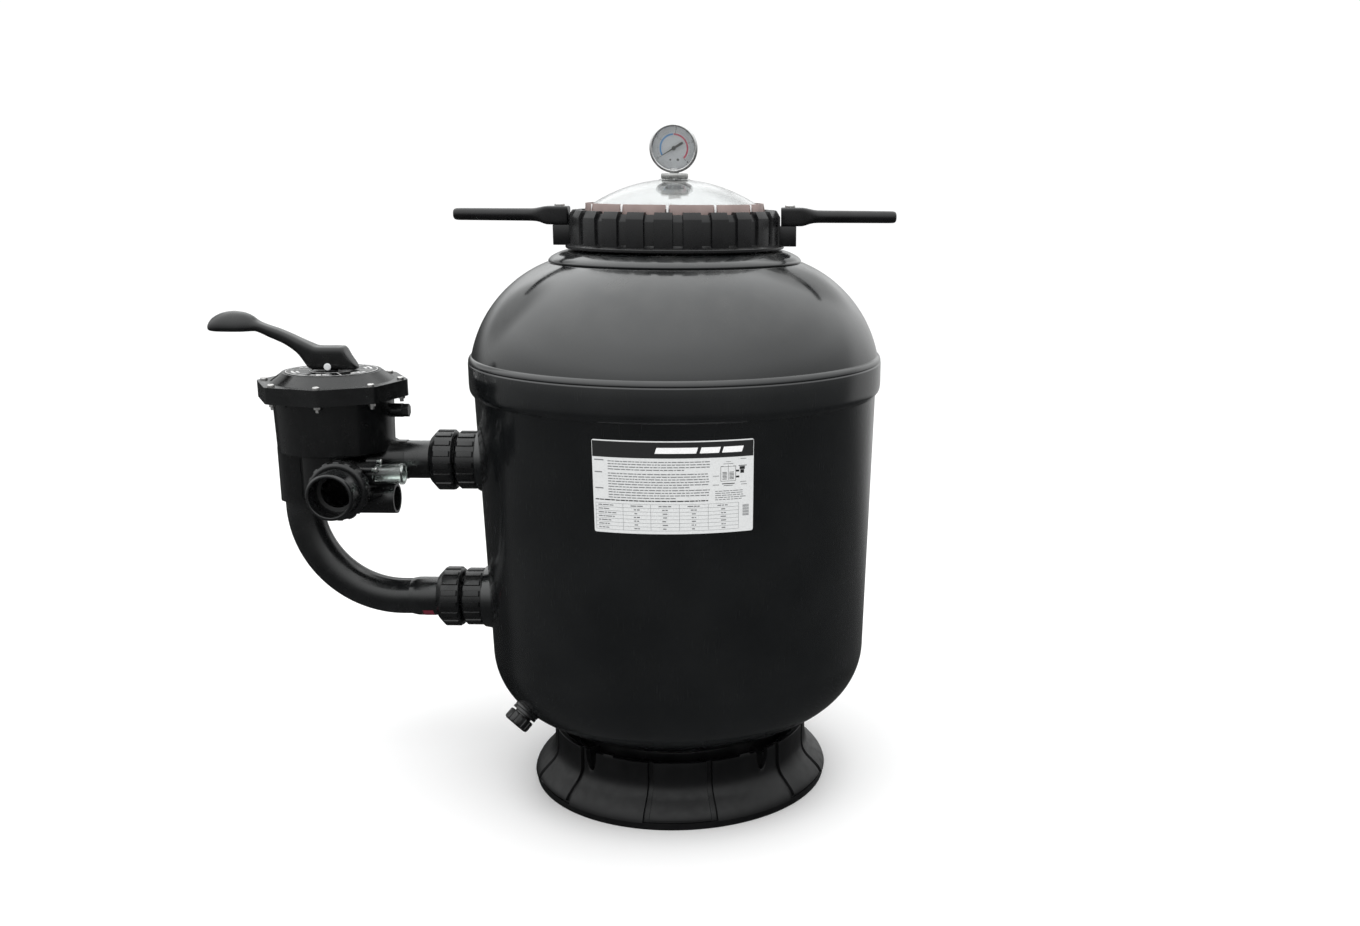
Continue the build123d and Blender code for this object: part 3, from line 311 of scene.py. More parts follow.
def softened(node, width=0.0004, angle=30.0, look=None):
    """Copy of a CAD node with clean faces and rounded edges, shown instead of it."""
    mesh = NODES[node].data.copy()
    bm = bmesh.new()
    bm.from_mesh(mesh)
    bmesh.ops.remove_doubles(bm, verts=bm.verts, dist=0.000004)
    bmesh.ops.dissolve_limit(bm, angle_limit=math.radians(0.6), verts=bm.verts, edges=bm.edges)
    bm.to_mesh(mesh)
    bm.free()
    obj = add(node + "_moulded", mesh, node, look)
    bevel = obj.modifiers.new("rounded", "BEVEL")
    bevel.width = width
    bevel.segments = 2
    bevel.limit_method = "ANGLE"
    bevel.angle_limit = math.radians(angle)
    bevel.use_clamp_overlap = True
    mesh.shade_smooth()
    mesh.set_sharp_from_angle(angle=math.radians(angle))
    weighted = obj.modifiers.new("weighted", "WEIGHTED_NORMAL")
    weighted.keep_sharp = True
    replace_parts(obj, node)


for cad_node, cad_object in NODES.items():
    dress(cad_object, LOOKS[SLOT_OF[cad_node]])


# ---- mesh building ------------------------------------------------------------------------
def around(r, turn, z):
    """Point in metres for a radius and height in millimetres and an angle about Z in degrees."""
    t = math.radians(turn)
    return Vector((r * math.cos(t) * MM, r * math.sin(t) * MM, z * MM))


def in_mm(x, y, z):
    return Vector((x * MM, y * MM, z * MM))


def corner_arc(before, point, after, radius, steps):
    """Points of an arc that rounds a corner, between the directions of its two neighbours."""
    p, a, b = Vector(point), Vector(before), Vector(after)
    to_a, to_b = a - p, b - p
    if to_a.length < 1e-9 or to_b.length < 1e-9:
        return [tuple(p)] * (steps + 1)
    reach = min(radius, 0.45 * to_a.length, 0.45 * to_b.length)
    start, end = p + to_a.normalized() * reach, p + to_b.normalized() * reach
    made = []
    for k in range(steps + 1):
        t = k / steps
        made.append(tuple(start * (1 - t) ** 2 + p * 2 * t * (1 - t) + end * t ** 2))
    return made


def rounded(points, radius=0.5, steps=2, loop=True):
    """Section in millimetres with its (r, z) corners rounded; a third number gives a corner its own
    radius, and 0 leaves it as it is."""
    made = []
    count = len(points)
    for i, point in enumerate(points):
        own = point[2] if len(point) > 2 else radius
        at_end = not loop and i in (0, count - 1)
        if own == 0 or at_end:
            made.append(tuple(point[:2]))
        else:
            made += corner_arc(points[i - 1][:2], point[:2], points[(i + 1) % count][:2], own, steps)
    return made


def arc(centre, radius, start, end, steps):
    """Points of an arc in a section, from one angle to another in degrees, kept as they are."""
    turns = [math.radians(start + (end - start) * k / steps) for k in range(steps + 1)]
    return [(centre[0] + radius * math.cos(t), centre[1] + radius * math.sin(t), 0) for t in turns]


def every(count, start=0.0):
    return [start + 360 * k / count for k in range(count)]


def columns(fine=(), step=2.5):
    """Angles round a full turn in degrees, no further apart than step, with extra ones where detail sits."""
    extra = {round(f % 360, 4) for f in fine}
    kept = []
    for turn in sorted(extra | {round(step * k, 4) for k in range(int(360 / step))}):
        closest = 0.02 if turn in extra else 0.3 * step
        if not kept or turn - kept[-1] >= closest:
            kept.append(turn)
    return kept


def finish_mesh(bm, name, smooth=35.0):
    bmesh.ops.remove_doubles(bm, verts=bm.verts, dist=1e-6)
    bmesh.ops.recalc_face_normals(bm, faces=bm.faces)
    mesh = bpy.data.meshes.new(name)
    bm.to_mesh(mesh)
    bm.free()
    mesh.shade_smooth()
    mesh.set_sharp_from_angle(angle=math.radians(smooth))
    return mesh


def polar(bm, turns, section, loop=True, place=Matrix.Identity(4)):
    """Adds a surface about local Z made of one section for each angle in degrees, in millimetres."""
    rings = [[bm.verts.new(place @ around(r, turn, z)) for r, z in section(turn)] for turn in turns]
    size = len(rings[0])
    for i, ring in enumerate(rings):
        after = rings[(i + 1) % len(rings)]
        for j in range(size if loop else size - 1):
            k = (j + 1) % size
            bm.faces.new((ring[j], after[j], after[k], ring[k]))


def lathe(bm, points, radius=0.4, steps=2, loop=True, place=Matrix.Identity(4), step=3.0):
    section = rounded(points, radius, steps, loop)
    polar(bm, columns(step=step), lambda turn: section, loop, place)


def bump_up(turn, centres, half, slope):
    """1 inside any of the angular ranges, 0 outside, with straight flanks."""
    near = min(abs((turn - c + 180) % 360 - 180) for c in centres)
    return max(0.0, min(1.0, (half + slope - near) / slope))


def edges_of(centres, half, slope):
    """Columns at both flanks of each angular range, with one close to each corner."""
    spots = []
    for c in centres:
        for side in (-1, 1):
            for off in (half - slope * 0.6, half, half + slope * 0.5, half + slope, half + slope * 1.6):
                spots.append(c + side * off)
    return spots


def tube_faces(bm, rings):
    """Joins closed rings of vertices in order, without caps."""
    size = len(rings[0])
    for one, other in zip(rings, rings[1:]):
        for j in range(size):
            bm.faces.new((one[j], one[(j + 1) % size], other[(j + 1) % size], other[j]))


def close_rings(bm, rings):
    """Joins closed rings of vertices in order and caps both ends."""
    tube_faces(bm, rings)
    bm.faces.new(rings[0][::-1])
    bm.faces.new(rings[-1])


def solid_block(bm, x_span, y_span, z_span, radius, turn=0.0, steps=3):
    """Block with rounded upright edges and small chamfers above and below, turned about Z."""
    def outline(inset):
        made = []
        corners = [(x_span[1] - inset, y_span[0] + inset), (x_span[1] - inset, y_span[1] - inset),
                   (x_span[0] + inset, y_span[1] - inset), (x_span[0] + inset, y_span[0] + inset)]
        for i, corner in enumerate(corners):
            made += corner_arc(corners[i - 1], corner, corners[(i + 1) % 4], radius, steps)
        return made

    edge = min(0.6, radius)
    levels = [(z_span[0], edge), (z_span[0] + edge * 0.3, edge * 0.3), (z_span[0] + edge, 0),
              (z_span[1] - edge, 0), (z_span[1] - edge * 0.3, edge * 0.3), (z_span[1], edge)]
    spin = Matrix.Rotation(math.radians(turn), 4, "Z")
    close_rings(bm, [[bm.verts.new(spin @ in_mm(x, y, z)) for x, y in outline(inset)] for z, inset in levels])


def superellipse(half_y, half_z, power, count=28):
    """Closed outline between an ellipse (power 2) and a rectangle (large power)."""
    def bent(share):
        return math.copysign(abs(share) ** (2 / power), share)

    turns = [2 * math.pi * (k + 0.5) / count for k in range(count)]
    return [(half_y * bent(math.cos(t)), half_z * bent(math.sin(t))) for t in turns]


def smooth_stations(stations, parts):
    """Catmull-Rom points between stations."""
    made = []
    last = len(stations) - 1
    for i in range(last):
        near = [stations[max(0, i - 1)], stations[i], stations[i + 1], stations[min(last, i + 2)]]
        for k in range(parts):
            t = k / parts
            made.append(tuple(
                0.5 * (2 * b + (c - a) * t + (2 * a - 5 * b + 4 * c - d) * t ** 2
                       + (3 * b - a - 3 * c + d) * t ** 3)
                for a, b, c, d in zip(*near)))
    return made + [stations[-1]]


# ---- places, with local +Z along each part's axis -----------------------------------------
def at_height(height, turn):
    return Matrix.Translation((0, 0, height * MM)) @ turn


OUTWARD = Matrix.Rotation(math.radians(-90), 4, "Y")     # local +Z points away from the tank, to -X
FRONTWARD = Matrix.Rotation(math.radians(90), 4, "X")    # local +Z points to the front, -Y
BACKWARD = Matrix.Rotation(math.radians(-90), 4, "X")    # local +Z points to the back, +Y
LOWER_Z = 244.4
UPPER, LOWER = at_height(433.7, OUTWARD), at_height(LOWER_Z, OUTWARD)
PORTS = Matrix.Translation((-0.422, 0, 0.411))
FRONT_PORT, BACK_PORT = PORTS @ FRONTWARD, PORTS @ BACKWARD
VALVE = Matrix.Translation((-0.45, 0, 0))
DRAIN_AXIS = Vector((-0.623, -0.403, -0.670)).normalized()
DRAIN_TURN = DRAIN_AXIS.to_track_quat("Z", "Y").to_matrix().to_4x4()
DRAIN = Matrix.Translation((-0.1875, -0.1215, 0.1305)) @ DRAIN_TURN
GAUGE_Z = 834.5
GAUGE = at_height(GAUGE_Z, BACKWARD)


# ---- tank ---------------------------------------------------------------------------------
WALL = 6.0
DOME_R, DOME_Z, DOME_ARC = 104.5, 545.6, 159.5
NECK_ROOT_R = 117.0
THREAD_LOW, THREAD_HIGH, THREAD_PITCH, THREAD_DEEP = 712.0, 737.0, 6.0, 2.9


def bowl_arc(inset):
    """Bowl section as in the CAD: a wide arc, then a tangent corner arc up to the wall."""
    top, radius, depth, corner = 190.0, 249.0, 135.0, 88.0
    reach = radius - corner
    wide = (radius ** 2 + depth ** 2 - 2 * radius * corner) / (2 * (depth - corner))
    wide_z = top - depth + wide
    lean = math.degrees(math.atan2(reach, wide_z - top))
    return (arc((0, wide_z), wide - inset, 270, 270 + lean, 30)[:-1]
            + arc((reach, top), corner - inset, 270 + lean, 360, 20))


def lower_body(bm):
    belt = [(258.7, 530, 0.6), (259.5, 530, 0.2), (263.6, 534.8, 2.5), (264.6, 538.5, 2.0), (265, 544, 2.0),
            (265, 570.5, 0.8), (264.1, 571.6, 0.4), (264.1, 572.4, 0.4), (264.7, 573.2, 0.4),
            (264.0, 576.2, 2.2), (261.6, 579.6, 2.6), (258, 580.2, 0.3)]
    rebate = [(258, 548, 0.3), (252.7, 548, 0.3)]
    lathe(bm, bowl_arc(0) + belt + rebate + bowl_arc(WALL)[::-1], loop=False, step=1.5)
    for place in (UPPER, LOWER):
        lathe(bm, [(28.0, 242), (44.5, 242, 0), (41.5, 259, 2), (41, 262, 1.2), (28.0, 262)], place=place)
    lathe(bm, [(12.0, -5), (21, -5, 0), (17.5, 1, 2), (17, 4, 1), (12.0, 4)], place=DRAIN)


def neck_outside(turn):
    """Neck wall with one helical thread: rows are fixed and the crest runs through them."""
    rows = []
    z = THREAD_LOW
    while z <= THREAD_HIGH:
        phase = ((z - THREAD_LOW) / THREAD_PITCH - turn / 360.0) % 1.0
        crest = max(0.0, 1.0 - abs(phase - 0.5) / 0.34)
        ends = max(0.0, min(1.0, (z - THREAD_LOW) / 3.0, (THREAD_HIGH - z) / 2.0))
        rows.append((NECK_ROOT_R + THREAD_DEEP * min(1.0, crest * 1.35) * ends, z))
        z += 0.8
    return rows


def dome_arc(radius, r_from, r_to, steps):
    def angle(r):
        return math.degrees(math.acos((r - DOME_R) / radius))

    return arc((DOME_R, DOME_Z), radius, angle(r_from), angle(r_to), steps)


def upper_dome(bm):
    """Dome, collar and threaded neck; the first and last point only give their neighbours a direction."""
    low_r = DOME_R + math.sqrt(DOME_ARC ** 2 - (577 - DOME_Z) ** 2)
    outer = [(258, 548, 0.3), (258, 577, 0.3)] + dome_arc(DOME_ARC, low_r, 162.4, 40)
    collar = [(160.0, 692.6, 0.5), (159.0, 693.4, 0.5), (160.7, 696.4, 0.8), (159.6, 698.8, 1.5),
              (156.8, 701.5, 2.0), (152.5, 704.0, 2.5), (146.5, 706.8, 3.0), (139.5, 708.9, 3.5),
              (132, 710.2, 3.0), (122.5, 710.3, 0.8), (117, 710.9, 1.0)]
    before = rounded([(250, 548)] + outer + collar + [(117, 711.5)], 0.4, loop=False)[1:-1]
    top = [(117, 738.5), (116.6, 739.6), (115.4, 740), (112.6, 740), (112.6, 735), (107.4, 735), (107.4, 740),
           (101.6, 740), (100.4, 739.6), (100, 738.4)]
    inside = [(100, DOME_Z + DOME_ARC - WALL + 4), (100.4, DOME_Z + DOME_ARC - WALL + 0.9)]
    inside += [p[:2] for p in dome_arc(DOME_ARC - WALL, DOME_R, 252, 30)] + [(252, 548)]
    polar(bm, columns(step=1.5), lambda turn: before + neck_outside(turn) + top + inside)


# ---- closure ------------------------------------------------------------------------------
LID_TOP, LID_ARC, LID_WALL = 797.0, 190.0, 5.0
LID_RIBS, RIB_HALF, RIB_FLANK = every(12), 0.68, 0.12
SLOT_HALF, SLOT_FLANK = 1.1, 0.1
RING_LUGS = [c - 90 for c in every(24, -1.6)]
LUG_HALF, LUG_FLANK = 4.7, 0.35


def lid_cap(inset, r_from, r_to, steps=30):
    """Points of the lid's spherical cap between two radii, inset from its outer face."""
    spots = [r_from + (r_to - r_from) * k / steps for k in range(steps + 1)]
    return [(r, LID_TOP - LID_ARC + math.sqrt((LID_ARC - inset) ** 2 - r ** 2)) for r in spots]


def clear_lid(bm):
    def section(turn):
        rib = 2.2 * bump_up(turn, LID_RIBS, RIB_HALF, RIB_FLANK)
        base = [(104.5, 740.6), (105.1, 740), (117.9, 740), (118.5, 740.6), (118.5, 748.4), (117.9, 749),
                (110.2 + rib, 749.0), (110 + rib, 749.3), (110 + rib, 760.9), (109.6 + rib, 761.5),
                (110, 761.5)]
        boss = [(19.6, 796.6), (18.5, 797), (8.6, 797), (8.2, 796.6), (8.2, 784.4), (8.6, 784), (19.2, 784),
                (20, 784.8)]
        return base + lid_cap(0, 110, 20) + boss + lid_cap(LID_WALL, 20, 104.5)[1:]

    polar(bm, columns(edges_of(LID_RIBS, RIB_HALF, RIB_FLANK), step=2.0), section)


def slip_ring(bm):
    """Pale ring round the lid's wall, cut open where the lid's ribs pass."""
    def section(turn):
        slot = bump_up(turn, LID_RIBS, SLOT_HALF, SLOT_FLANK)
        top = 767.5 - 16.4 * slot
        bore = 110.3 + 2.9 * slot
        return [(bore, 749.2), (bore + 0.2, 749), (118.0, 749), (118.2, 749.3), (118.2, 750.7), (117.9, 751),
                (bore + 2.3, 751), (bore + 2.0, 751.05), (bore + 2.0, top - 0.02), (bore + 1.7, top),
                (bore + 0.3, top), (bore, top - 0.02)]

    polar(bm, columns(edges_of(LID_RIBS, SLOT_HALF, SLOT_FLANK), step=2.0), section)


def lid_rib_edges(bm):
    """Frosted outer edges of the lid's ribs, in the slots of the slip ring."""
    for turn in LID_RIBS:
        solid_block(bm, (110.4, 112.9), (-1.3, 1.3), (749.6, 766.8), 0.5, turn, steps=2)


def lock_ring(bm):
    def section(turn):
        lug = bump_up(turn, RING_LUGS, LUG_HALF, LUG_FLANK)
        out = 130.5 + 3.0 * lug
        flat = 756.0 + 3.0 * lug
        return [(120.4, 712.6), (121.0, 712), (137.6, 712), (138.5, 713), (138.5, 715.2), (137.9, 716.0),
                (132.6 + 0.8 * lug, 717.6), (out, 720.0), (out, flat - 8.6), (out - 0.25, flat - 7.6),
                (out - 4.0, flat - 0.8), (out - 4.6, flat), (121.6, flat), (120.4, flat - 0.4 * lug),
                (119.6, 756.0), (113.3, 756.0), (112.8, 755.5), (112.8, 751.8), (113.3, 751.3),
                (120.4, 751.3)]

    polar(bm, columns(edges_of(RING_LUGS, LUG_HALF, LUG_FLANK), step=2.5), section)
    for side in (0, 180):
        solid_block(bm, (127.5, 154.0), (-13.5, 13.5), (715.0, 740.0), 2.5, side)


def handle_bar(turn):
    """Bar of one side: stations along X of half width, bottom, top and squareness."""
    stations = [
        (134.5, 12.6, 741.0, 762.0, 9), (134.8, 13.1, 740.4, 762.6, 9), (135.6, 13.5, 740.0, 763.0, 9),
        (158.0, 13.5, 740.0, 763.0, 9), (162.0, 13.2, 740.2, 762.9, 8), (166.0, 12.0, 741.2, 762.4, 6),
        (171.0, 10.2, 742.8, 761.4, 4), (176.0, 8.7, 743.8, 760.4, 2.8), (181.0, 8.0, 744.1, 759.9, 2.2),
        (190.0, 7.8, 744.2, 759.8, 2.0), (272.0, 7.5, 744.5, 759.5, 2.0), (277.0, 7.3, 744.7, 759.3, 2.0),
        (279.4, 6.5, 745.5, 758.5, 2.0), (280.6, 5.0, 747.0, 757.0, 2.0), (281.0, 3.0, 749.0, 755.0, 2.0)]

    def build(bm):
        spin = Matrix.Rotation(math.radians(turn), 4, "Z")
        rings = []
        for x, half, low_z, high_z, power in stations:
            middle = (low_z + high_z) / 2
            ring = superellipse(half, (high_z - low_z) / 2, power)
            rings.append([bm.verts.new(spin @ in_mm(x, y, middle + z)) for y, z in ring])
        close_rings(bm, rings)

    return build


# ---- unions, pipes and nuts ---------------------------------------------------------------
def ribbed(low, high, radius, bore, lip, lip_bore, cut_low, cut_high, place):
    """Nut: drum with ribs, rounded ends and a lip, in its own frame."""
    ribs, rib_high = every(16), 1.6
    half = math.degrees(3.2 / radius)
    slope = math.degrees(0.7 / radius)

    def section(turn):
        up = rib_high * bump_up(turn, ribs, half, slope)
        start, end = low + cut_low, high - cut_high
        return rounded([
            (bore, low, 0.4), (radius - cut_low, low, 0.5), (radius, start, 0.8), (radius, start + 0.6, 0),
            (radius + up, start + 1.8, 0.5), (radius + up, end - 1.6, 0.5), (radius, end - 0.3, 0.3),
            (radius - 0.1, end, 1.0), (radius - cut_high * 1.1, high, 1.0), (lip_bore, high, 0.5),
            (lip_bore, lip, 0.2), (bore, lip, 0.2)], steps=2)

    return lambda bm: polar(bm, columns(edges_of(ribs, half, slope), step=3.0), section, place=place)


def union_nut(place):
    return ribbed(291, 324, 38.6, 28.4, 312.3, 26.4, 2, 8, place)


def port_nut(place):
    return ribbed(79, 98, 36.6, 32.4, 92.3, 30.4, 1.5, 2.5, place)


def tank_nuts(bm):
    for place in (UPPER, LOWER):
        ribbed(262, 289.5, 37.1, 28.02, 280, 28.02, 1.0, 3.0, place)(bm)


def side_tail(place):
    def build(bm):
        lathe(bm, [(20, 88.3), (31.9, 88.3), (31.9, 92), (30, 92, 0.8), (30, 124.4, 0.3), (30, 127, 1.0),
                   (28.9, 129.2, 0.8), (27.6, 130, 0.5), (25.9, 130, 0.6), (25.1, 129.2, 0.5), (25.1, 98),
                   (20, 98)], place=place, step=2.5)
    return build


ELBOW_R, ELBOW_BORE, BEND_R = 23.98, 20.0, 125.6
DROP_X, DROP_TOP, SOCKET_X = -499.0, 405.0, -345.0


def elbow_path():
    """Down the drop pipe, round the bend and along to the union, as points and directions."""
    bend_x, bend_z = DROP_X + BEND_R, LOWER_Z + BEND_R
    path = []
    for k in range(5):
        path.append((Vector((DROP_X, 0, DROP_TOP + (bend_z - DROP_TOP) * k / 4)), Vector((0, 0, -1))))
    for k in range(1, 37):
        t = math.radians(90 * k / 36)
        out = Vector((-math.cos(t), 0, -math.sin(t)))
        path.append((Vector((bend_x, 0, bend_z)) + out * BEND_R, Vector((math.sin(t), 0, -math.cos(t)))))
    for k in range(1, 4):
        path.append((Vector((bend_x + (SOCKET_X - bend_x) * k / 3, 0, LOWER_Z)), Vector((1, 0, 0))))
    return path


def sweep(bm, path, radius, count=56):
    """Rings of vertices of one radius round a path."""
    side = Vector((0, 1, 0))
    rings = []
    for point, ahead in path:
        up = ahead.cross(side).normalized()
        turns = [2 * math.pi * k / count for k in range(count)]
        rings.append([bm.verts.new((point + side * radius * math.cos(t) + up * radius * math.sin(t)) * MM)
                      for t in turns])
    return rings


def elbow(bm):
    path = elbow_path()
    outer, inner = sweep(bm, path, ELBOW_R), sweep(bm, path, ELBOW_BORE)
    tube_faces(bm, outer)
    tube_faces(bm, [ring[::-1] for ring in inner])
    for end in (0, -1):
        tube_faces(bm, [outer[end], inner[end]])
    lathe(bm, [(23.9, 322), (25.6, 322, 0.4), (26, 322.6, 0.4), (26, 352, 1.5), (25.2, 357, 1.5),
               (24.2, 361, 1.0), (23.9, 362)], place=LOWER, step=3.0)
    for half_turn in (0, 180):
        seam_ridge(bm, path, half_turn)


def seam_ridge(bm, path, half_turn):
    """Thin parting line along the outside of the bend, in its middle plane."""
    rings = []
    for point, ahead in path[3:-1]:
        up = ahead.cross(Vector((0, 1, 0))).normalized() * (1 if half_turn else -1)
        base = point + up * 23.8
        ring = [base + Vector((0, -0.7, 0)), base + up * 0.45 + Vector((0, -0.3, 0)),
                base + up * 0.45 + Vector((0, 0.3, 0)), base + Vector((0, 0.7, 0))]
        rings.append([bm.verts.new(p * MM) for p in ring])
    close_rings(bm, rings)


def socket_mark(bm):
    """Small painted mark low on the elbow's socket, towards the front."""
    ring_sector(bm, 25.9, 26.3, 198, 238, 330, 344, LOWER)


# ---- base stand, with angles counted from the front towards +X ----------------------------
NARROW_PANELS, NARROW_HALF = every(6, 4.0), 11.3
WIDE_PANELS, WIDE_HALF = every(6, 34.0), 16.1
NOTCHES, NOTCH_HALF, NOTCH_DEEP = (42.0, -38.0, 142.0, -138.0), 3.05, 27.0
TABS, TAB_HALF, TAB_FLANK = (33.0, -28.5, 151.5, -147.0), 2.2, 0.3
PANEL_STEP, PANEL_FLANK = 4.0, 0.35
FLARE = ((0, 200), (9, 200), (18, 196), (27.5, 187), (36, 178.5), (45, 173.4), (56, 172), (79, 172))
SKIRT_ROWS = [9.5, 11.0, 12.5] + [14 + 3 * k for k in range(11)] + [48, 52, 56, 61, 66, 71]
SKIRT_TOP, SKIRT_TOP_R = 79.0, 172.0


def from_front(turn):
    """Angle from the front towards +X for an angle about Z counted from +X."""
    return (turn + 90 + 180) % 360 - 180


def flare_radius(z):
    """Skirt radius at a height over the panels, on a smooth curve through FLARE."""
    last = len(FLARE) - 1
    i = next(k for k in range(last) if z <= FLARE[k + 1][0])
    (z0, r0), (z1, r1) = FLARE[i], FLARE[i + 1]
    (z_before, r_before), (z_after, r_after) = FLARE[max(0, i - 1)], FLARE[min(last, i + 2)]
    t = (z - z0) / (z1 - z0)
    slope0 = (r1 - r_before) / (z1 - z_before) * (z1 - z0)
    slope1 = (r_after - r0) / (z_after - z0) * (z1 - z0)
    return ((2 * t ** 3 - 3 * t ** 2 + 1) * r0 + (t ** 3 - 2 * t ** 2 + t) * slope0
            + (3 * t ** 2 - 2 * t ** 3) * r1 + (t ** 3 - t ** 2) * slope1)


def skirt_section(turn):
    phi = from_front(turn)
    wide = bump_up(phi, WIDE_PANELS, WIDE_HALF, PANEL_FLANK)
    up = max(wide, bump_up(phi, NARROW_PANELS, NARROW_HALF, PANEL_FLANK))
    foot = 7.4 if wide > 0.5 else 11.4
    notch = max(0.0, 1 - (min(abs(phi - c) for c in NOTCHES) / NOTCH_HALF) ** 2)
    top = SKIRT_TOP - NOTCH_DEEP * math.sqrt(notch)
    tab = 2.0 * bump_up(phi, TABS, TAB_HALF, TAB_FLANK)
    outer = [(195.5, 0.0), (197.2, 0.0), (198, 0.8), (198, 8.2), (197.9, 9.0)]
    for z in SKIRT_ROWS:
        risen = max(0.0, min(1.0, (z - foot) / 1.2))
        outer.append((flare_radius(z) - PANEL_STEP + PANEL_STEP * up * risen, min(z, top - 1.6)))
    edge = SKIRT_TOP_R - PANEL_STEP + PANEL_STEP * up
    outer += [(edge, min(75.5, top - 1.0)), (edge - 0.2, top - 0.6), (edge - 1.0, top + tab),
              (166.4, top + tab), (165.2, top - 0.4), (165.0, top - 1.2)]
    inner = [(flare_radius(z) - 7.0, min(z, top - 1.8)) for z in SKIRT_ROWS[::-1]]
    return outer + inner + [(193.0, 8.0), (193.0, 0.8), (193.4, 0.0)]


def base_stand(bm):
    """Skirt with panels, notches and tabs, the ring that carries the bowl, and the ribs between them."""
    flanks = edges_of([c - 90 for c in NARROW_PANELS], NARROW_HALF, PANEL_FLANK)
    flanks += edges_of([c - 90 for c in WIDE_PANELS], WIDE_HALF, PANEL_FLANK)
    flanks += edges_of([c - 90 for c in TABS], TAB_HALF, TAB_FLANK)
    flanks += [c - 90 + side * off for c in NOTCHES for side in (-1, 1)
               for off in (0, 1.2, 2.0, 2.5, 2.8, 2.95, 3.03, 3.06)]
    polar(bm, columns(flanks, step=2.0), skirt_section)
    lathe(bm, [(128, 58), (142, 58), (142, 80.6), (128, 74.6)], step=3.0, radius=0.8)
    for turn in every(12, 15 - 90):
        solid_block(bm, (140, 166), (-2, 2), (38, 72), 0.5, turn, steps=2)


# ---- valve lever --------------------------------------------------------------------------
LEVER_FOOT = 553.0


def lever(bm):
    """Lever from the hub along -X, above its foot: stations of x, half width, bottom, waist and top."""
    stations = [
        (-156.0, 0.8, 51.8, 52.8, 54.0), (-155.2, 5.4, 50.0, 52.9, 57.6), (-153.0, 9.4, 48.9, 53.0, 61.2),
        (-148.5, 14.0, 48.3, 53.0, 66.0), (-141.0, 18.3, 48.0, 53.0, 70.4), (-132.0, 21.0, 48.0, 53.0, 73.4),
        (-122.0, 22.0, 48.0, 53.0, 74.5), (-112.0, 21.1, 48.1, 53.2, 73.6), (-104.0, 18.7, 48.4, 53.6, 71.4),
        (-97.5, 15.6, 48.7, 54.0, 67.8), (-93.0, 13.2, 48.6, 54.2, 63.8), (-88.5, 11.7, 47.2, 53.6, 60.8),
        (-83.0, 11.0, 44.8, 51.4, 58.4), (-75.0, 10.9, 40.9, 48.0, 55.6), (-66.0, 11.1, 37.0, 44.6, 52.6),
        (-57.0, 11.4, 32.6, 40.8, 49.0), (-48.0, 11.9, 26.8, 36.0, 45.0), (-41.0, 12.3, 20.8, 31.4, 41.6),
        (-35.0, 12.7, 13.6, 26.6, 38.6), (-30.5, 13.0, 6.8, 22.0, 36.4), (-27.0, 13.3, 2.4, 18.0, 34.8),
        (-22.5, 13.7, 0.5, 16.0, 32.8), (-18.0, 14.1, 0.0, 15.0, 31.0), (-12.0, 14.4, 0.0, 15.0, 30.2),
        (0.0, 14.9, 0.0, 15.0, 30.2), (12.0, 14.9, 0.0, 15.0, 30.2), (18.5, 14.2, 0.0, 14.0, 29.0),
        (24.5, 12.6, 0.0, 9.0, 18.6), (30.0, 10.2, 0.0, 6.0, 10.6), (33.2, 7.2, 0.6, 3.6, 6.2),
        (34.6, 3.4, 1.6, 3.2, 4.6)]
    rings = []
    for x, half, low_z, waist, high_z in smooth_stations(stations, 4):
        domed = max(0.0, min(1.0, (-x - 84) / 12))
        hub = max(0.0, min(1.0, (x + 40) / 15))
        ring = []
        for y, z in superellipse(half, 1.0, 3.4 - 1.3 * domed + 1.8 * hub, 40):
            height = waist + z * (high_z - waist if z > 0 else waist - low_z)
            ring.append(bm.verts.new(VALVE @ in_mm(x, y, LEVER_FOOT + height)))
        rings.append(ring)
    close_rings(bm, rings)


# ---- print and paint, as thin raised shapes -----------------------------------------------
PRINT_SINK, PRINT_LIFT = 0.1, 0.12


def flat_shape(bm, outline, low, high, place):
    """Thin prism of a flat outline in local XY, in millimetres."""
    close_rings(bm, [[bm.verts.new(place @ in_mm(x, y, z)) for x, y in outline] for z in (low, high)])


def ring_sector(bm, inner, outer, start, end, low, high, place, step=3.0):
    """Thin curved bar between two angles in degrees, about local Z."""
    count = max(1, math.ceil(abs(end - start) / step))
    turns = [start + (end - start) * k / count for k in range(count + 1)]
    outline = [(outer, turn) for turn in turns] + [(inner, turn) for turn in reversed(turns)]
    levels = [[bm.verts.new(place @ around(r, turn, z)) for r, turn in outline] for z in (low, high)]
    tube_faces(bm, levels)
    size = len(outline)
    for level in levels:
        for j in range(size // 2 - 1):
            bm.faces.new((level[j], level[j + 1], level[size - 2 - j], level[size - 1 - j]))


# ---- label, with angles counted from the front --------------------------------------------
LABEL_LOW, LABEL_HIGH, LABEL_CORNER = 402.0, 511.0, 2.5
LABEL_FROM, LABEL_TO = -17.6, 24.2
FILM_SINK, FILM_LIFT = 0.02, 0.4
BAR_SINK, BAR_LIFT = 0.30, 0.46
HEADER_SINK, HEADER_LIFT = 0.42, 0.52
MM_DEG = math.degrees(1 / 256.0)     # one millimetre round the wall, as an angle
TEXT_LEFT, TEXT_RIGHT = -13.4, 12.6
TABLE_LEFT, TABLE_RIGHT, TABLE_TOP, ROW, ROWS = -17.0, 20.2, 437.0, 4.45, 7
PARAGRAPHS = ((486.6, 4, 0.75), (472.4, 6, 0.8), (453.6, 4, 0.68))     # top, lines, share of the last line


def wall_radius(z):
    return 249.0 + 9.7 * (z - 190.0) / 340.0


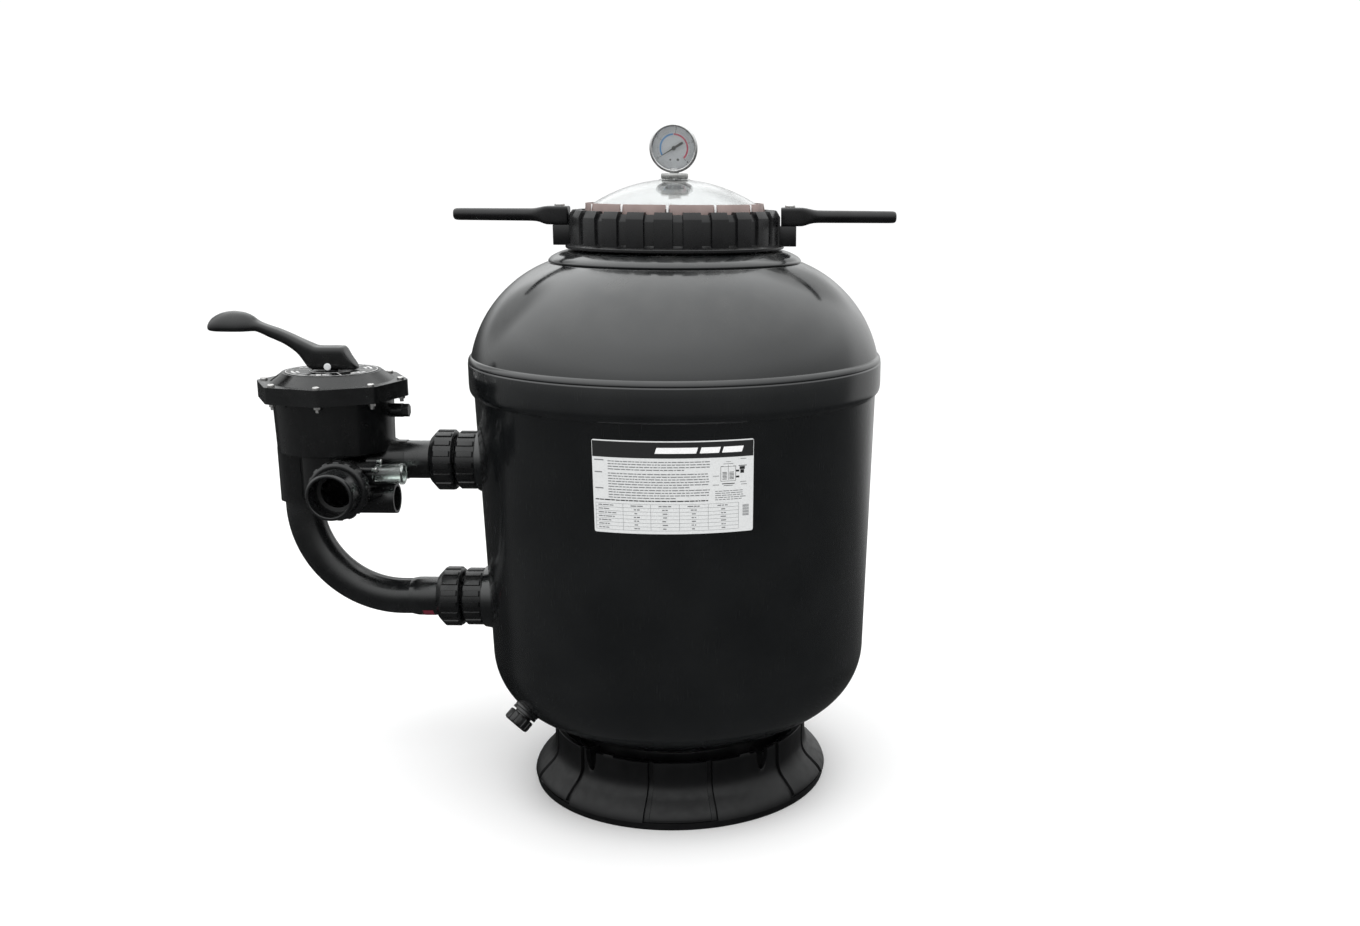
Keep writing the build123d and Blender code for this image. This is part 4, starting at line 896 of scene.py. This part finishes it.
def on_wall(bm, turns, profile):
    """Closed strip on the tank's wall, with a profile of height and lift at each angle in degrees."""
    close_rings(bm, [[bm.verts.new(around(wall_radius(z) + lift, turn - 90, z)) for z, lift in profile(turn)]
                     for turn in turns])


def label_bar(bm, left, right, low, high):
    """Closed bar on the label: left and right in degrees, low and high in millimetres."""
    count = max(1, math.ceil((right - left) / 1.5))
    profile = ((low, BAR_SINK), (high, BAR_SINK), (high, BAR_LIFT), (low, BAR_LIFT))
    on_wall(bm, [left + (right - left) * k / count for k in range(count + 1)], lambda turn: profile)


def label_sheet(bm):
    """Film with rounded corners and a slightly lifted face."""
    def profile(turn):
        inside = min(turn - LABEL_FROM, LABEL_TO - turn) / MM_DEG
        beside = max(0.0, LABEL_CORNER - inside)
        cut = LABEL_CORNER - math.sqrt(max(0.0, LABEL_CORNER ** 2 - beside ** 2))
        low, high = LABEL_LOW + cut, LABEL_HIGH - cut
        heights = [low + (high - low) * k / 12 for k in range(13)]
        return [(z, FILM_SINK) for z in heights] + [(z, FILM_LIFT) for z in reversed(heights)]

    offsets = [0, 0.25, 0.8, 1.6, 2.5]
    turns = [LABEL_FROM + o * MM_DEG for o in offsets]
    turns += [LABEL_FROM + (LABEL_TO - LABEL_FROM) * k / 40 for k in range(1, 40)]
    turns += [LABEL_TO - o * MM_DEG for o in reversed(offsets)]
    on_wall(bm, turns, profile)


def text_line(bm, rng, left, right, z, height, gap=0.9):
    """Bars of random length in place of the words of one line."""
    at = left
    while at < right - 1.5 * MM_DEG:
        word = min(rng.uniform(2.0, 7.5) * MM_DEG, right - at)
        label_bar(bm, at, at + word, z - height / 2, z + height / 2)
        at += word + gap * MM_DEG


def print_grey(bm):
    """Lines in place of the text, a plain table, a few marks and a stack of stripes."""
    rng = random.Random(7)
    for top, lines, last in PARAGRAPHS:
        for k in range(lines):
            right = TEXT_RIGHT if k < lines - 1 else TEXT_LEFT + (TEXT_RIGHT - TEXT_LEFT) * last
            text_line(bm, rng, TEXT_LEFT, right, top - 3.1 * k, 1.15)
        label_bar(bm, TABLE_LEFT, -14.4 - rng.uniform(0, 0.8), top + 0.2, top + 1.5)
    table(bm, rng)
    for k in range(5):
        text_line(bm, rng, 14.0, 22.6 - rng.uniform(0, 2.4), 451.4 - 2.5 * k, 0.9)
    for turn, z in ((13.4, 469), (13.4, 458.5), (20.6, 488), (20.6, 461), (20.8, 458)):
        label_bar(bm, turn, turn + 1.6, z, z + 0.7)
    for k in range(12):
        z = 433.5 - 1.15 * k
        label_bar(bm, 21.3, 23.0, z, z + (0.75 if k % 3 else 0.4))


def table(bm, rng):
    for k in range(ROWS + 1):
        z = TABLE_TOP - ROW * k
        label_bar(bm, TABLE_LEFT, TABLE_RIGHT, z - 0.16, z + 0.16)
    for turn in (TABLE_LEFT, -9.7, -2.5, 4.8, 12.2, TABLE_RIGHT):
        label_bar(bm, turn - 0.035, turn + 0.035, TABLE_TOP - ROW * ROWS, TABLE_TOP)
    for k in range(ROWS):
        z = TABLE_TOP - 2.2 - ROW * k
        text_line(bm, rng, TABLE_LEFT + 0.7, -11.6 + rng.uniform(-2.0, 0.6), z, 1.2)
        for turn in (-6.1, 1.15, 8.5, 16.2):
            wide = 1.6 if k == 0 else rng.uniform(0.5, 0.8)
            text_line(bm, rng, turn - wide, turn + wide, z, 1.3)


def print_black(bm):
    rng = random.Random(11)
    label_bar(bm, LABEL_FROM + 0.12, LABEL_TO - 0.12, 491.0, 509.6)
    text_line(bm, rng, TABLE_LEFT, TEXT_RIGHT, 441.0, 1.25, gap=0.8)
    line_drawing(bm)


def line_drawing(bm):
    """Small generic diagram of a tank with its side valve."""
    middle = 17.4
    for side in (-1, 1):
        label_bar(bm, middle + side * 1.95 - 0.05, middle + side * 1.95 + 0.05, 463.0, 480.0)
    for z, half in ((463.0, 1.95), (480.0, 1.95), (483.2, 1.3), (485.6, 0.7)):
        label_bar(bm, middle - half, middle + half, z - 0.2, z + 0.2)
    for side in (-1, 1):
        label_bar(bm, middle + side * 1.62 - 0.34, middle + side * 1.62 + 0.34, 480.0, 480.5)
        label_bar(bm, middle + side * 1.0 - 0.3, middle + side * 1.0 + 0.3, 483.0, 483.5)
    label_bar(bm, middle - 0.04, middle + 0.04, 464.0, 482.0)
    for left, right, low, high in ((-1.5, -0.4, 465.0, 474.5), (0.3, 1.5, 465.0, 474.5)):
        for k in range(6):
            z = low + (high - low) * k / 6
            label_bar(bm, middle + left, middle + right, z, z + 0.7)
    for z in (467.5, 474.5):
        label_bar(bm, middle + 2.05, middle + 2.9, z - 1.1, z + 1.1)
    label_bar(bm, middle + 3.0, middle + 4.4, 476.0, 479.5)
    label_bar(bm, middle + 3.2, middle + 4.2, 471.5, 475.6)
    label_bar(bm, middle + 2.7, middle + 4.9, 480.0, 480.8)
    label_bar(bm, middle - 1.6, middle + 1.7, 459.4, 460.4)
    label_bar(bm, middle - 1.2, middle + 1.2, 457.4, 458.0)


def header_bars(bm):
    """Plain slanted blocks on the header band."""
    low, high = 496.6, 503.4
    profile = ((low, HEADER_SINK), (high, HEADER_SINK), (high, HEADER_LIFT), (low, HEADER_LIFT))
    for left, right in ((-1.0, 9.4), (10.3, 15.2), (16.0, 21.2)):
        parts = max(2, int((right - left) / 1.5))
        rings = []
        for k in range(parts + 1):
            turn = left + (right - left) * k / parts
            rings.append([bm.verts.new(around(wall_radius(z) + lift, turn + 0.5 * (z - 500.0) / 6.8 - 90, z))
                          for z, lift in profile])
        close_rings(bm, rings)


# ---- pressure gauge -----------------------------------------------------------------------
DIAL_FACE = -5.0                            # depth of the printed face, negative is to the front
SCALE_START, SCALE_SWEEP = 211.0, 256.0     # zero at the lower left, full scale at the lower right
BAND_IN, BAND_OUT = 15.5, 17.5


def gauge_case(bm):
    lathe(bm, [(27, -9.9, 0.2), (28.4, -9.9, 0.3), (28.5, 4, 2.0), (28.1, 9.4, 3.0), (24.5, 13, 2.0),
               (6, 13, 1.0), (0, 12.8), (0, 11.2), (25, 11.2, 1.0), (27, 8.6, 1.0)], loop=False, place=GAUGE,
          step=2.5)
    lathe(bm, [(0, 799.1), (5.7, 799.1), (5.7, 806.5, 0.3), (7.2, 808.3, 0.5), (7.2, 811, 0.3), (0, 811)],
          loop=False, step=5)


def gauge_bezel(bm):
    lathe(bm, [(26.2, -14.2, 0.2), (26.8, -15, 0.5), (28.6, -15, 0.9), (30, -13.6, 1.1), (30, -8.2, 0.9),
               (29.2, -6.0, 0.8), (28.5, -6.0, 0.2), (28.5, -10), (27.9, -10), (27.9, -13.2), (26.2, -13.2)],
          place=GAUGE, step=2.5, steps=4)


def gauge_lens(bm):
    dome = [(27.8 * k / 12, -13.0 - 0.9 * (1 - (k / 12) ** 2), 0) for k in range(12)]
    lathe(bm, dome + [(25.9, -13.05, 0.1), (27.8, -13.0, 0.1), (27.8, -11.4, 0.2), (0, -11.4, 0)], loop=False,
          place=GAUGE, step=3)


def face_point(radius, turn):
    """Point on the dial's face for an angle counted counterclockwise from the right, seen from the front."""
    t = math.radians(turn)
    return radius * math.cos(t), -radius * math.sin(t)


def on_face(bm, inner, outer, start, end):
    low, high = DIAL_FACE - PRINT_LIFT, DIAL_FACE + PRINT_SINK
    ring_sector(bm, inner, outer, -start, -end, low, high, GAUGE, step=4.0)


def dial_ticks(bm):
    for k in range(41):
        turn = SCALE_START - SCALE_SWEEP * k / 40
        inner, wide = (17.9, 0.9) if k % 10 == 0 else ((18.6, 0.55) if k % 5 == 0 else (19.2, 0.4))
        on_face(bm, inner, 20.6, turn - wide, turn + wide)
    for x, radius in ((-4.6, 1.1), (4.6, 1.6)):
        turns = [2 * math.pi * k / 16 for k in range(16)]
        outline = [(x + radius * math.cos(t), 13.6 + radius * math.sin(t)) for t in turns]
        flat_shape(bm, outline, DIAL_FACE - PRINT_LIFT, DIAL_FACE + PRINT_SINK, GAUGE)


def dial_blue(bm):
    on_face(bm, BAND_IN, BAND_OUT, 211, 93)


def dial_red(bm):
    on_face(bm, BAND_IN, BAND_OUT, 90, -45)


def dial_numbers():
    """Scale numbers, cut from Blender's own font and laid on the dial."""
    total = bmesh.new()
    for k in range(5):
        curve = bpy.data.curves.new("digit", "FONT")
        curve.body = str(k)
        curve.size = 4.4 * MM
        curve.align_x, curve.align_y = "CENTER", "CENTER"
        curve.extrude = 0.06 * MM
        text = bpy.data.objects.new("digit", curve)
        bpy.context.scene.collection.objects.link(text)
        bpy.context.view_layer.update()
        mesh = bpy.data.meshes.new_from_object(text.evaluated_get(bpy.context.evaluated_depsgraph_get()))
        x, y = face_point(23.1, SCALE_START - SCALE_SWEEP * k / 4)
        upright = Matrix.Translation((x * MM, (DIAL_FACE - 0.08) * MM, (GAUGE_Z - y) * MM))
        mesh.transform(upright @ Matrix.Rotation(math.radians(90), 4, "X"))
        total.from_mesh(mesh)
        bpy.data.objects.remove(text)
        bpy.data.curves.remove(curve)
        bpy.data.meshes.remove(mesh)
    return finish_mesh(total, "gauge_numbers")


def gauge_adaptor(bm):
    """Spool under the gauge, with a knurled rim."""
    knurls = every(36)

    def section(turn):
        cut = 0.55 * bump_up(turn, knurls, 1.4, 1.6)
        rim = 17.0 - cut
        return [(0, 804), (5.9, 804), (16.0 - cut, 804.0), (16.7 - cut, 803.5), (rim, 802.8), (rim, 799.0),
                (16.7 - cut, 797.9), (16.0 - cut, 797.02), (8.05, 797.0), (8.05, 773.4), (7.6, 773.0),
                (0, 773)]

    polar(bm, columns(edges_of(knurls, 1.4, 1.6), step=5.0), section, loop=False)


# ---- valve and drain details --------------------------------------------------------------
PLATE_TOP = 552.1
SECTORS = every(6, -90)


def on_plate(bm, inner, outer, start, end, step=3.0):
    ring_sector(bm, inner, outer, start, end, PLATE_TOP - PRINT_SINK, PLATE_TOP + PRINT_LIFT, VALVE, step)


def plate_marks(bm):
    """White rings, position lines and an arrowhead on the plate round the lever."""
    on_plate(bm, 56.6, 57.4, 0, 360, step=4.0)
    on_plate(bm, 27.4, 28.0, 0, 360, step=6.0)
    for turn in SECTORS:
        on_plate(bm, 30.0, 54.0, turn + 29.4, turn + 30.6)
    front = math.radians(-90)
    tip = [(53.5 * math.cos(front + aside) * reach, 53.5 * math.sin(front + aside) * reach)
           for aside, reach in ((0, 0.86), (0.06, 1.0), (-0.06, 1.0))]
    flat_shape(bm, tip, PLATE_TOP - PRINT_SINK, PLATE_TOP + PRINT_LIFT, VALVE)


def plate_dashes(bm):
    """Dashes that stand for the names of the positions."""
    dashes = ((47.5, -14, -6), (47.5, -4.5, 3), (47.5, 4.8, 14), (41.5, -9, 0), (41.5, 2, 9))
    for turn in SECTORS:
        for inner, start, end in dashes:
            on_plate(bm, inner, inner + 3.2, turn + start, turn + end)


def drain_cap(bm):
    grips = every(14)

    def section(turn):
        up = 1.0 * bump_up(turn, grips, 4.2, 2.2)
        return [(12.4, 10.8), (12.9, 10.4), (16.0, 10.4), (16.6 + up * 0.3, 11.0), (16.6 + up, 12.2),
                (16.6 + up, 22.4), (16.4 + up * 0.6, 23.6), (15.6, 24.6), (14.6, 25.0), (9.0, 25.0),
                (8.4, 24.4), (0, 24.4), (0, 22.0), (12.4, 22.0)]

    polar(bm, columns(edges_of(grips, 4.2, 2.2), step=6.0), section, loop=False, place=DRAIN)
    open_edge = [e for e in bm.edges if e.is_boundary]
    bmesh.ops.holes_fill(bm, edges=open_edge)


def pressed_spring():
    """Copy of the spring, shown instead of the CAD node, with a mesh of its own."""
    spring = add("valve_spring_coil", NODES["valve_spring"].data.copy(), "valve_spring")
    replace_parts(spring, "valve_spring")
    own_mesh(spring)


# ---- the pieces in place ------------------------------------------------------------------
stand_in("tank_lower_shell", "tank_lower_body", lower_body)
stand_in("tank_dome_shell", "tank_upper_dome", upper_dome, smooth=40)
stand_in("lid_clear_cap", "lid", clear_lid)
detail("lid_ribs_frosted", "lid", lid_rib_edges, FROSTED)
stand_in("slip_ring_slotted", "slip_ring", slip_ring)
stand_in("lock_ring_lugged", "lock_ring", lock_ring)
stand_in("bar_right_grip", "handle_bar_right", handle_bar(0), smooth=50)
stand_in("bar_left_grip", "handle_bar_left", handle_bar(180), smooth=50)
stand_in("upper_union_ribbed", "upper_union_nut", union_nut(UPPER))
stand_in("lower_union_ribbed", "lower_union_nut", union_nut(LOWER))
stand_in("tank_nuts_ribbed", "tank_nuts", tank_nuts)
stand_in("pump_nut_ribbed", "pump_port_nut", port_nut(FRONT_PORT))
stand_in("return_nut_ribbed", "return_port_nut", port_nut(BACK_PORT))
stand_in("pump_tail_turned", "pump_port_tail", side_tail(FRONT_PORT))
stand_in("return_tail_turned", "return_port_tail", side_tail(BACK_PORT))
stand_in("elbow_moulded", "elbow_pipe", elbow)
detail("socket_paint_mark", "elbow_pipe", socket_mark, PAINT_RED)
stand_in("base_skirt_panels", "base_stand", base_stand, smooth=30)
stand_in("lever_moulded", "valve_handle", lever, smooth=60)
stand_in("label_film", "label", label_sheet)
detail("label_print_grey", "label", print_grey, GREY_INK)
detail("label_print_black", "label", print_black, BLACK_INK)
detail("label_header_bars", "label", header_bars, WHITE_INK)
stand_in("gauge_case_turned", "gauge_case", gauge_case)
stand_in("gauge_bezel_rolled", "gauge_bezel", gauge_bezel)
stand_in("gauge_lens_domed", "gauge_lens", gauge_lens)
stand_in("gauge_spool", "gauge_adaptor", gauge_adaptor)
detail("dial_ticks", "gauge_dial", dial_ticks, BLACK_INK)
detail("dial_blue_band", "gauge_dial", dial_blue, BLUE_INK)
detail("dial_red_band", "gauge_dial", dial_red, RED_INK)
add("dial_numbers", dial_numbers(), "gauge_dial", BLACK_INK)
detail("plate_marks_white", "position_plate", plate_marks, WHITE_INK)
detail("plate_dashes_grey", "position_plate", plate_dashes, WHITE_INK)
stand_in("drain_cap_gripped", "drain_cap", drain_cap)
for cad_node in ("valve_body", "valve_cover", "upper_union_tail", "valve_plug", "sight_glass",
                 "handle_bar_bolts", "cover_screws", "cover_nuts", "position_plate", "drain_fitting",
                 "sight_glass_screws"):
    softened(cad_node)
softened("handle_pin", look=ZINC)
pressed_spring()


# ---- stage --------------------------------------------------------------------------------
# radiance that reflections meet, by height in degrees
SKY = [(-90, 0.055), (-25, 0.055), (-21, 0.08), (-16, 0.14), (-10, 0.17), (-5, 0.21), (0, 0.42), (6, 0.66),
       (14, 1.0), (24, 1.55), (36, 1.8), (48, 2.15), (90, 2.45)]
SKY_RED = 0.985
SKY_LEFT = 0.16                             # share that the sky is brighter to the left
# darker patches of the sky: turn from the front, height, cosines where they start and are full, light left
DARK_PATCHES = ((-133, 22.5, 0.95, 0.995, 0.45), (160, 27.5, 0.95, 0.995, 0.5), (-150, -24, 0.80, 0.93, 0.2))
GLOW_AIM, GLOW_STARTS, GLOW_FULL, GLOW = (0.565, 0.807, -0.174), 0.80, 0.93, 0.336
GLOW_FOOT, GLOW_CLEAR = -0.34, -0.20
DIFFUSE_LIGHT, BACKDROP = 1.1, 1.05


def stage_set():
    floor_look = Look("floor_pale", (0.96, 0.96, 0.96), 0.6)
    floor_look.tint(floor_look.noise(0.4, 3), (0.945, 0.945, 0.945), 0.5)
    bm = bmesh.new()
    bmesh.ops.create_grid(bm, x_segments=8, y_segments=8, size=9.0)
    mesh = bpy.data.meshes.new("floor")
    bm.to_mesh(mesh)
    bm.free()
    floor = bpy.data.objects.new("floor", mesh)
    bpy.context.scene.collection.objects.link(floor)
    dress(floor, floor_look)
    floor.visible_glossy = False


def overhead_light():
    data = bpy.data.lights.new("overhead", "AREA")
    data.shape = "RECTANGLE"
    data.size, data.size_y = 2.6, 2.0
    data.energy = 34
    light = bpy.data.objects.new("overhead", data)
    bpy.context.scene.collection.objects.link(light)
    place, aim = Vector((0, -0.5, 2.6)), Vector((0, 0, 0.4))
    light.location = place
    light.rotation_mode = "QUATERNION"
    light.rotation_quaternion = (aim - place).to_track_quat("-Z", "Y")
    light.visible_glossy = False


def nearness(net, coords, aim):
    """Cosine between the direction of a ray and an aim."""
    dot = net.node("ShaderNodeVectorMath", operation="DOT_PRODUCT")
    dot.inputs[1].default_value = aim
    net.link(coords, dot.inputs[0])
    return dot.outputs["Value"]


def background(net, strength, colour=None):
    made = net.node("ShaderNodeBackground")
    made.inputs["Color"].default_value = (1, 1, 1, 1)
    if colour:
        net.link(colour, made.inputs["Color"])
    if isinstance(strength, float):
        made.inputs["Strength"].default_value = strength
    else:
        net.link(strength, made.inputs["Strength"])
    return made.outputs[0]


def joined(net, kind, first, second, share=None):
    """Mix or sum of two shaders."""
    made = net.node(kind)
    sockets = list(made.inputs)
    if share:
        net.link(share, sockets.pop(0))
    for shader, socket in zip((first, second), sockets):
        net.link(shader, socket)
    return made.outputs[0]


def sky(net, coords, up):
    """Sky by height, brighter to the left, with its dark patches."""
    most = max(level for _, level in SKY)
    ramp = net.node("ShaderNodeValToRGB")
    while len(ramp.color_ramp.elements) < len(SKY):
        ramp.color_ramp.elements.new(0.5)
    for element, (height, level) in zip(ramp.color_ramp.elements, SKY):
        element.position = 0.5 + 0.5 * math.sin(math.radians(height))
        element.color = (level / most * SKY_RED, level / most, level / most, 1)
    net.link(net.math("ADD", net.math("MULTIPLY", up, 0.5), 0.5), ramp.inputs["Fac"])
    split = net.node("ShaderNodeSeparateXYZ")
    net.link(coords, split.inputs[0])
    strength = net.math("ADD", net.math("MULTIPLY", split.outputs["X"], -SKY_LEFT * most), most)
    for turn, height, starts, full, left in DARK_PATCHES:
        t, h = math.radians(turn), math.radians(height)
        near = nearness(net, coords, (math.sin(t) * math.cos(h), -math.cos(t) * math.cos(h), math.sin(h)))
        patch = net.span(near, starts, full, 1.0, left, interpolation_type="SMOOTHSTEP")
        strength = net.math("MULTIPLY", strength, patch)
    return background(net, strength, ramp.outputs["Color"])


def world_light():
    """White to the camera, even for diffuse light; reflections meet a soft sky that is bright overhead,
    dark below the horizon and glows a little low on the right."""
    world = bpy.data.worlds.new("studio")
    bpy.context.scene.world = world
    world.use_nodes = True
    world.cycles.sampling_method = "NONE"
    world.node_tree.nodes.clear()
    net = Nodes(world.node_tree)
    coords = net.node("ShaderNodeTexCoord").outputs["Generated"]
    split = net.node("ShaderNodeSeparateXYZ")
    net.link(coords, split.inputs[0])
    up = split.outputs["Z"]
    glow = net.span(nearness(net, coords, GLOW_AIM), GLOW_STARTS, GLOW_FULL, 0.0, GLOW,
                    interpolation_type="SMOOTHSTEP")
    clear = net.span(up, GLOW_FOOT, GLOW_CLEAR, interpolation_type="SMOOTHSTEP")
    lit = background(net, net.math("MULTIPLY", glow, clear))
    met = joined(net, "ShaderNodeAddShader", sky(net, coords, up), lit)
    path = net.node("ShaderNodeLightPath")
    level = background(net, DIFFUSE_LIGHT)
    even = joined(net, "ShaderNodeMixShader", met, level, path.outputs["Is Diffuse Ray"])
    seen = net.math("MAXIMUM", path.outputs["Is Camera Ray"], path.outputs["Is Transmission Ray"])
    white = joined(net, "ShaderNodeMixShader", even, background(net, BACKDROP), seen)
    net.link(white, net.node("ShaderNodeOutputWorld").inputs["Surface"])


def camera():
    data = bpy.data.cameras.new("camera")
    data.sensor_width = 36.0
    data.lens = 35.37
    data.shift_x = -0.0749
    data.shift_y = 0.0319
    data.clip_end = 50.0
    cam = bpy.data.objects.new("camera", data)
    bpy.context.scene.collection.objects.link(cam)
    turn = Matrix.Rotation(math.radians(76.16), 4, "X") @ Matrix.Rotation(0.0076, 4, "Z")
    cam.matrix_world = Matrix.Translation((0.13837, -1.73421, 0.80032)) @ turn
    bpy.context.scene.camera = cam


stage_set()
world_light()
camera()
overhead_light()
bpy.context.scene.view_settings.view_transform = "Standard"
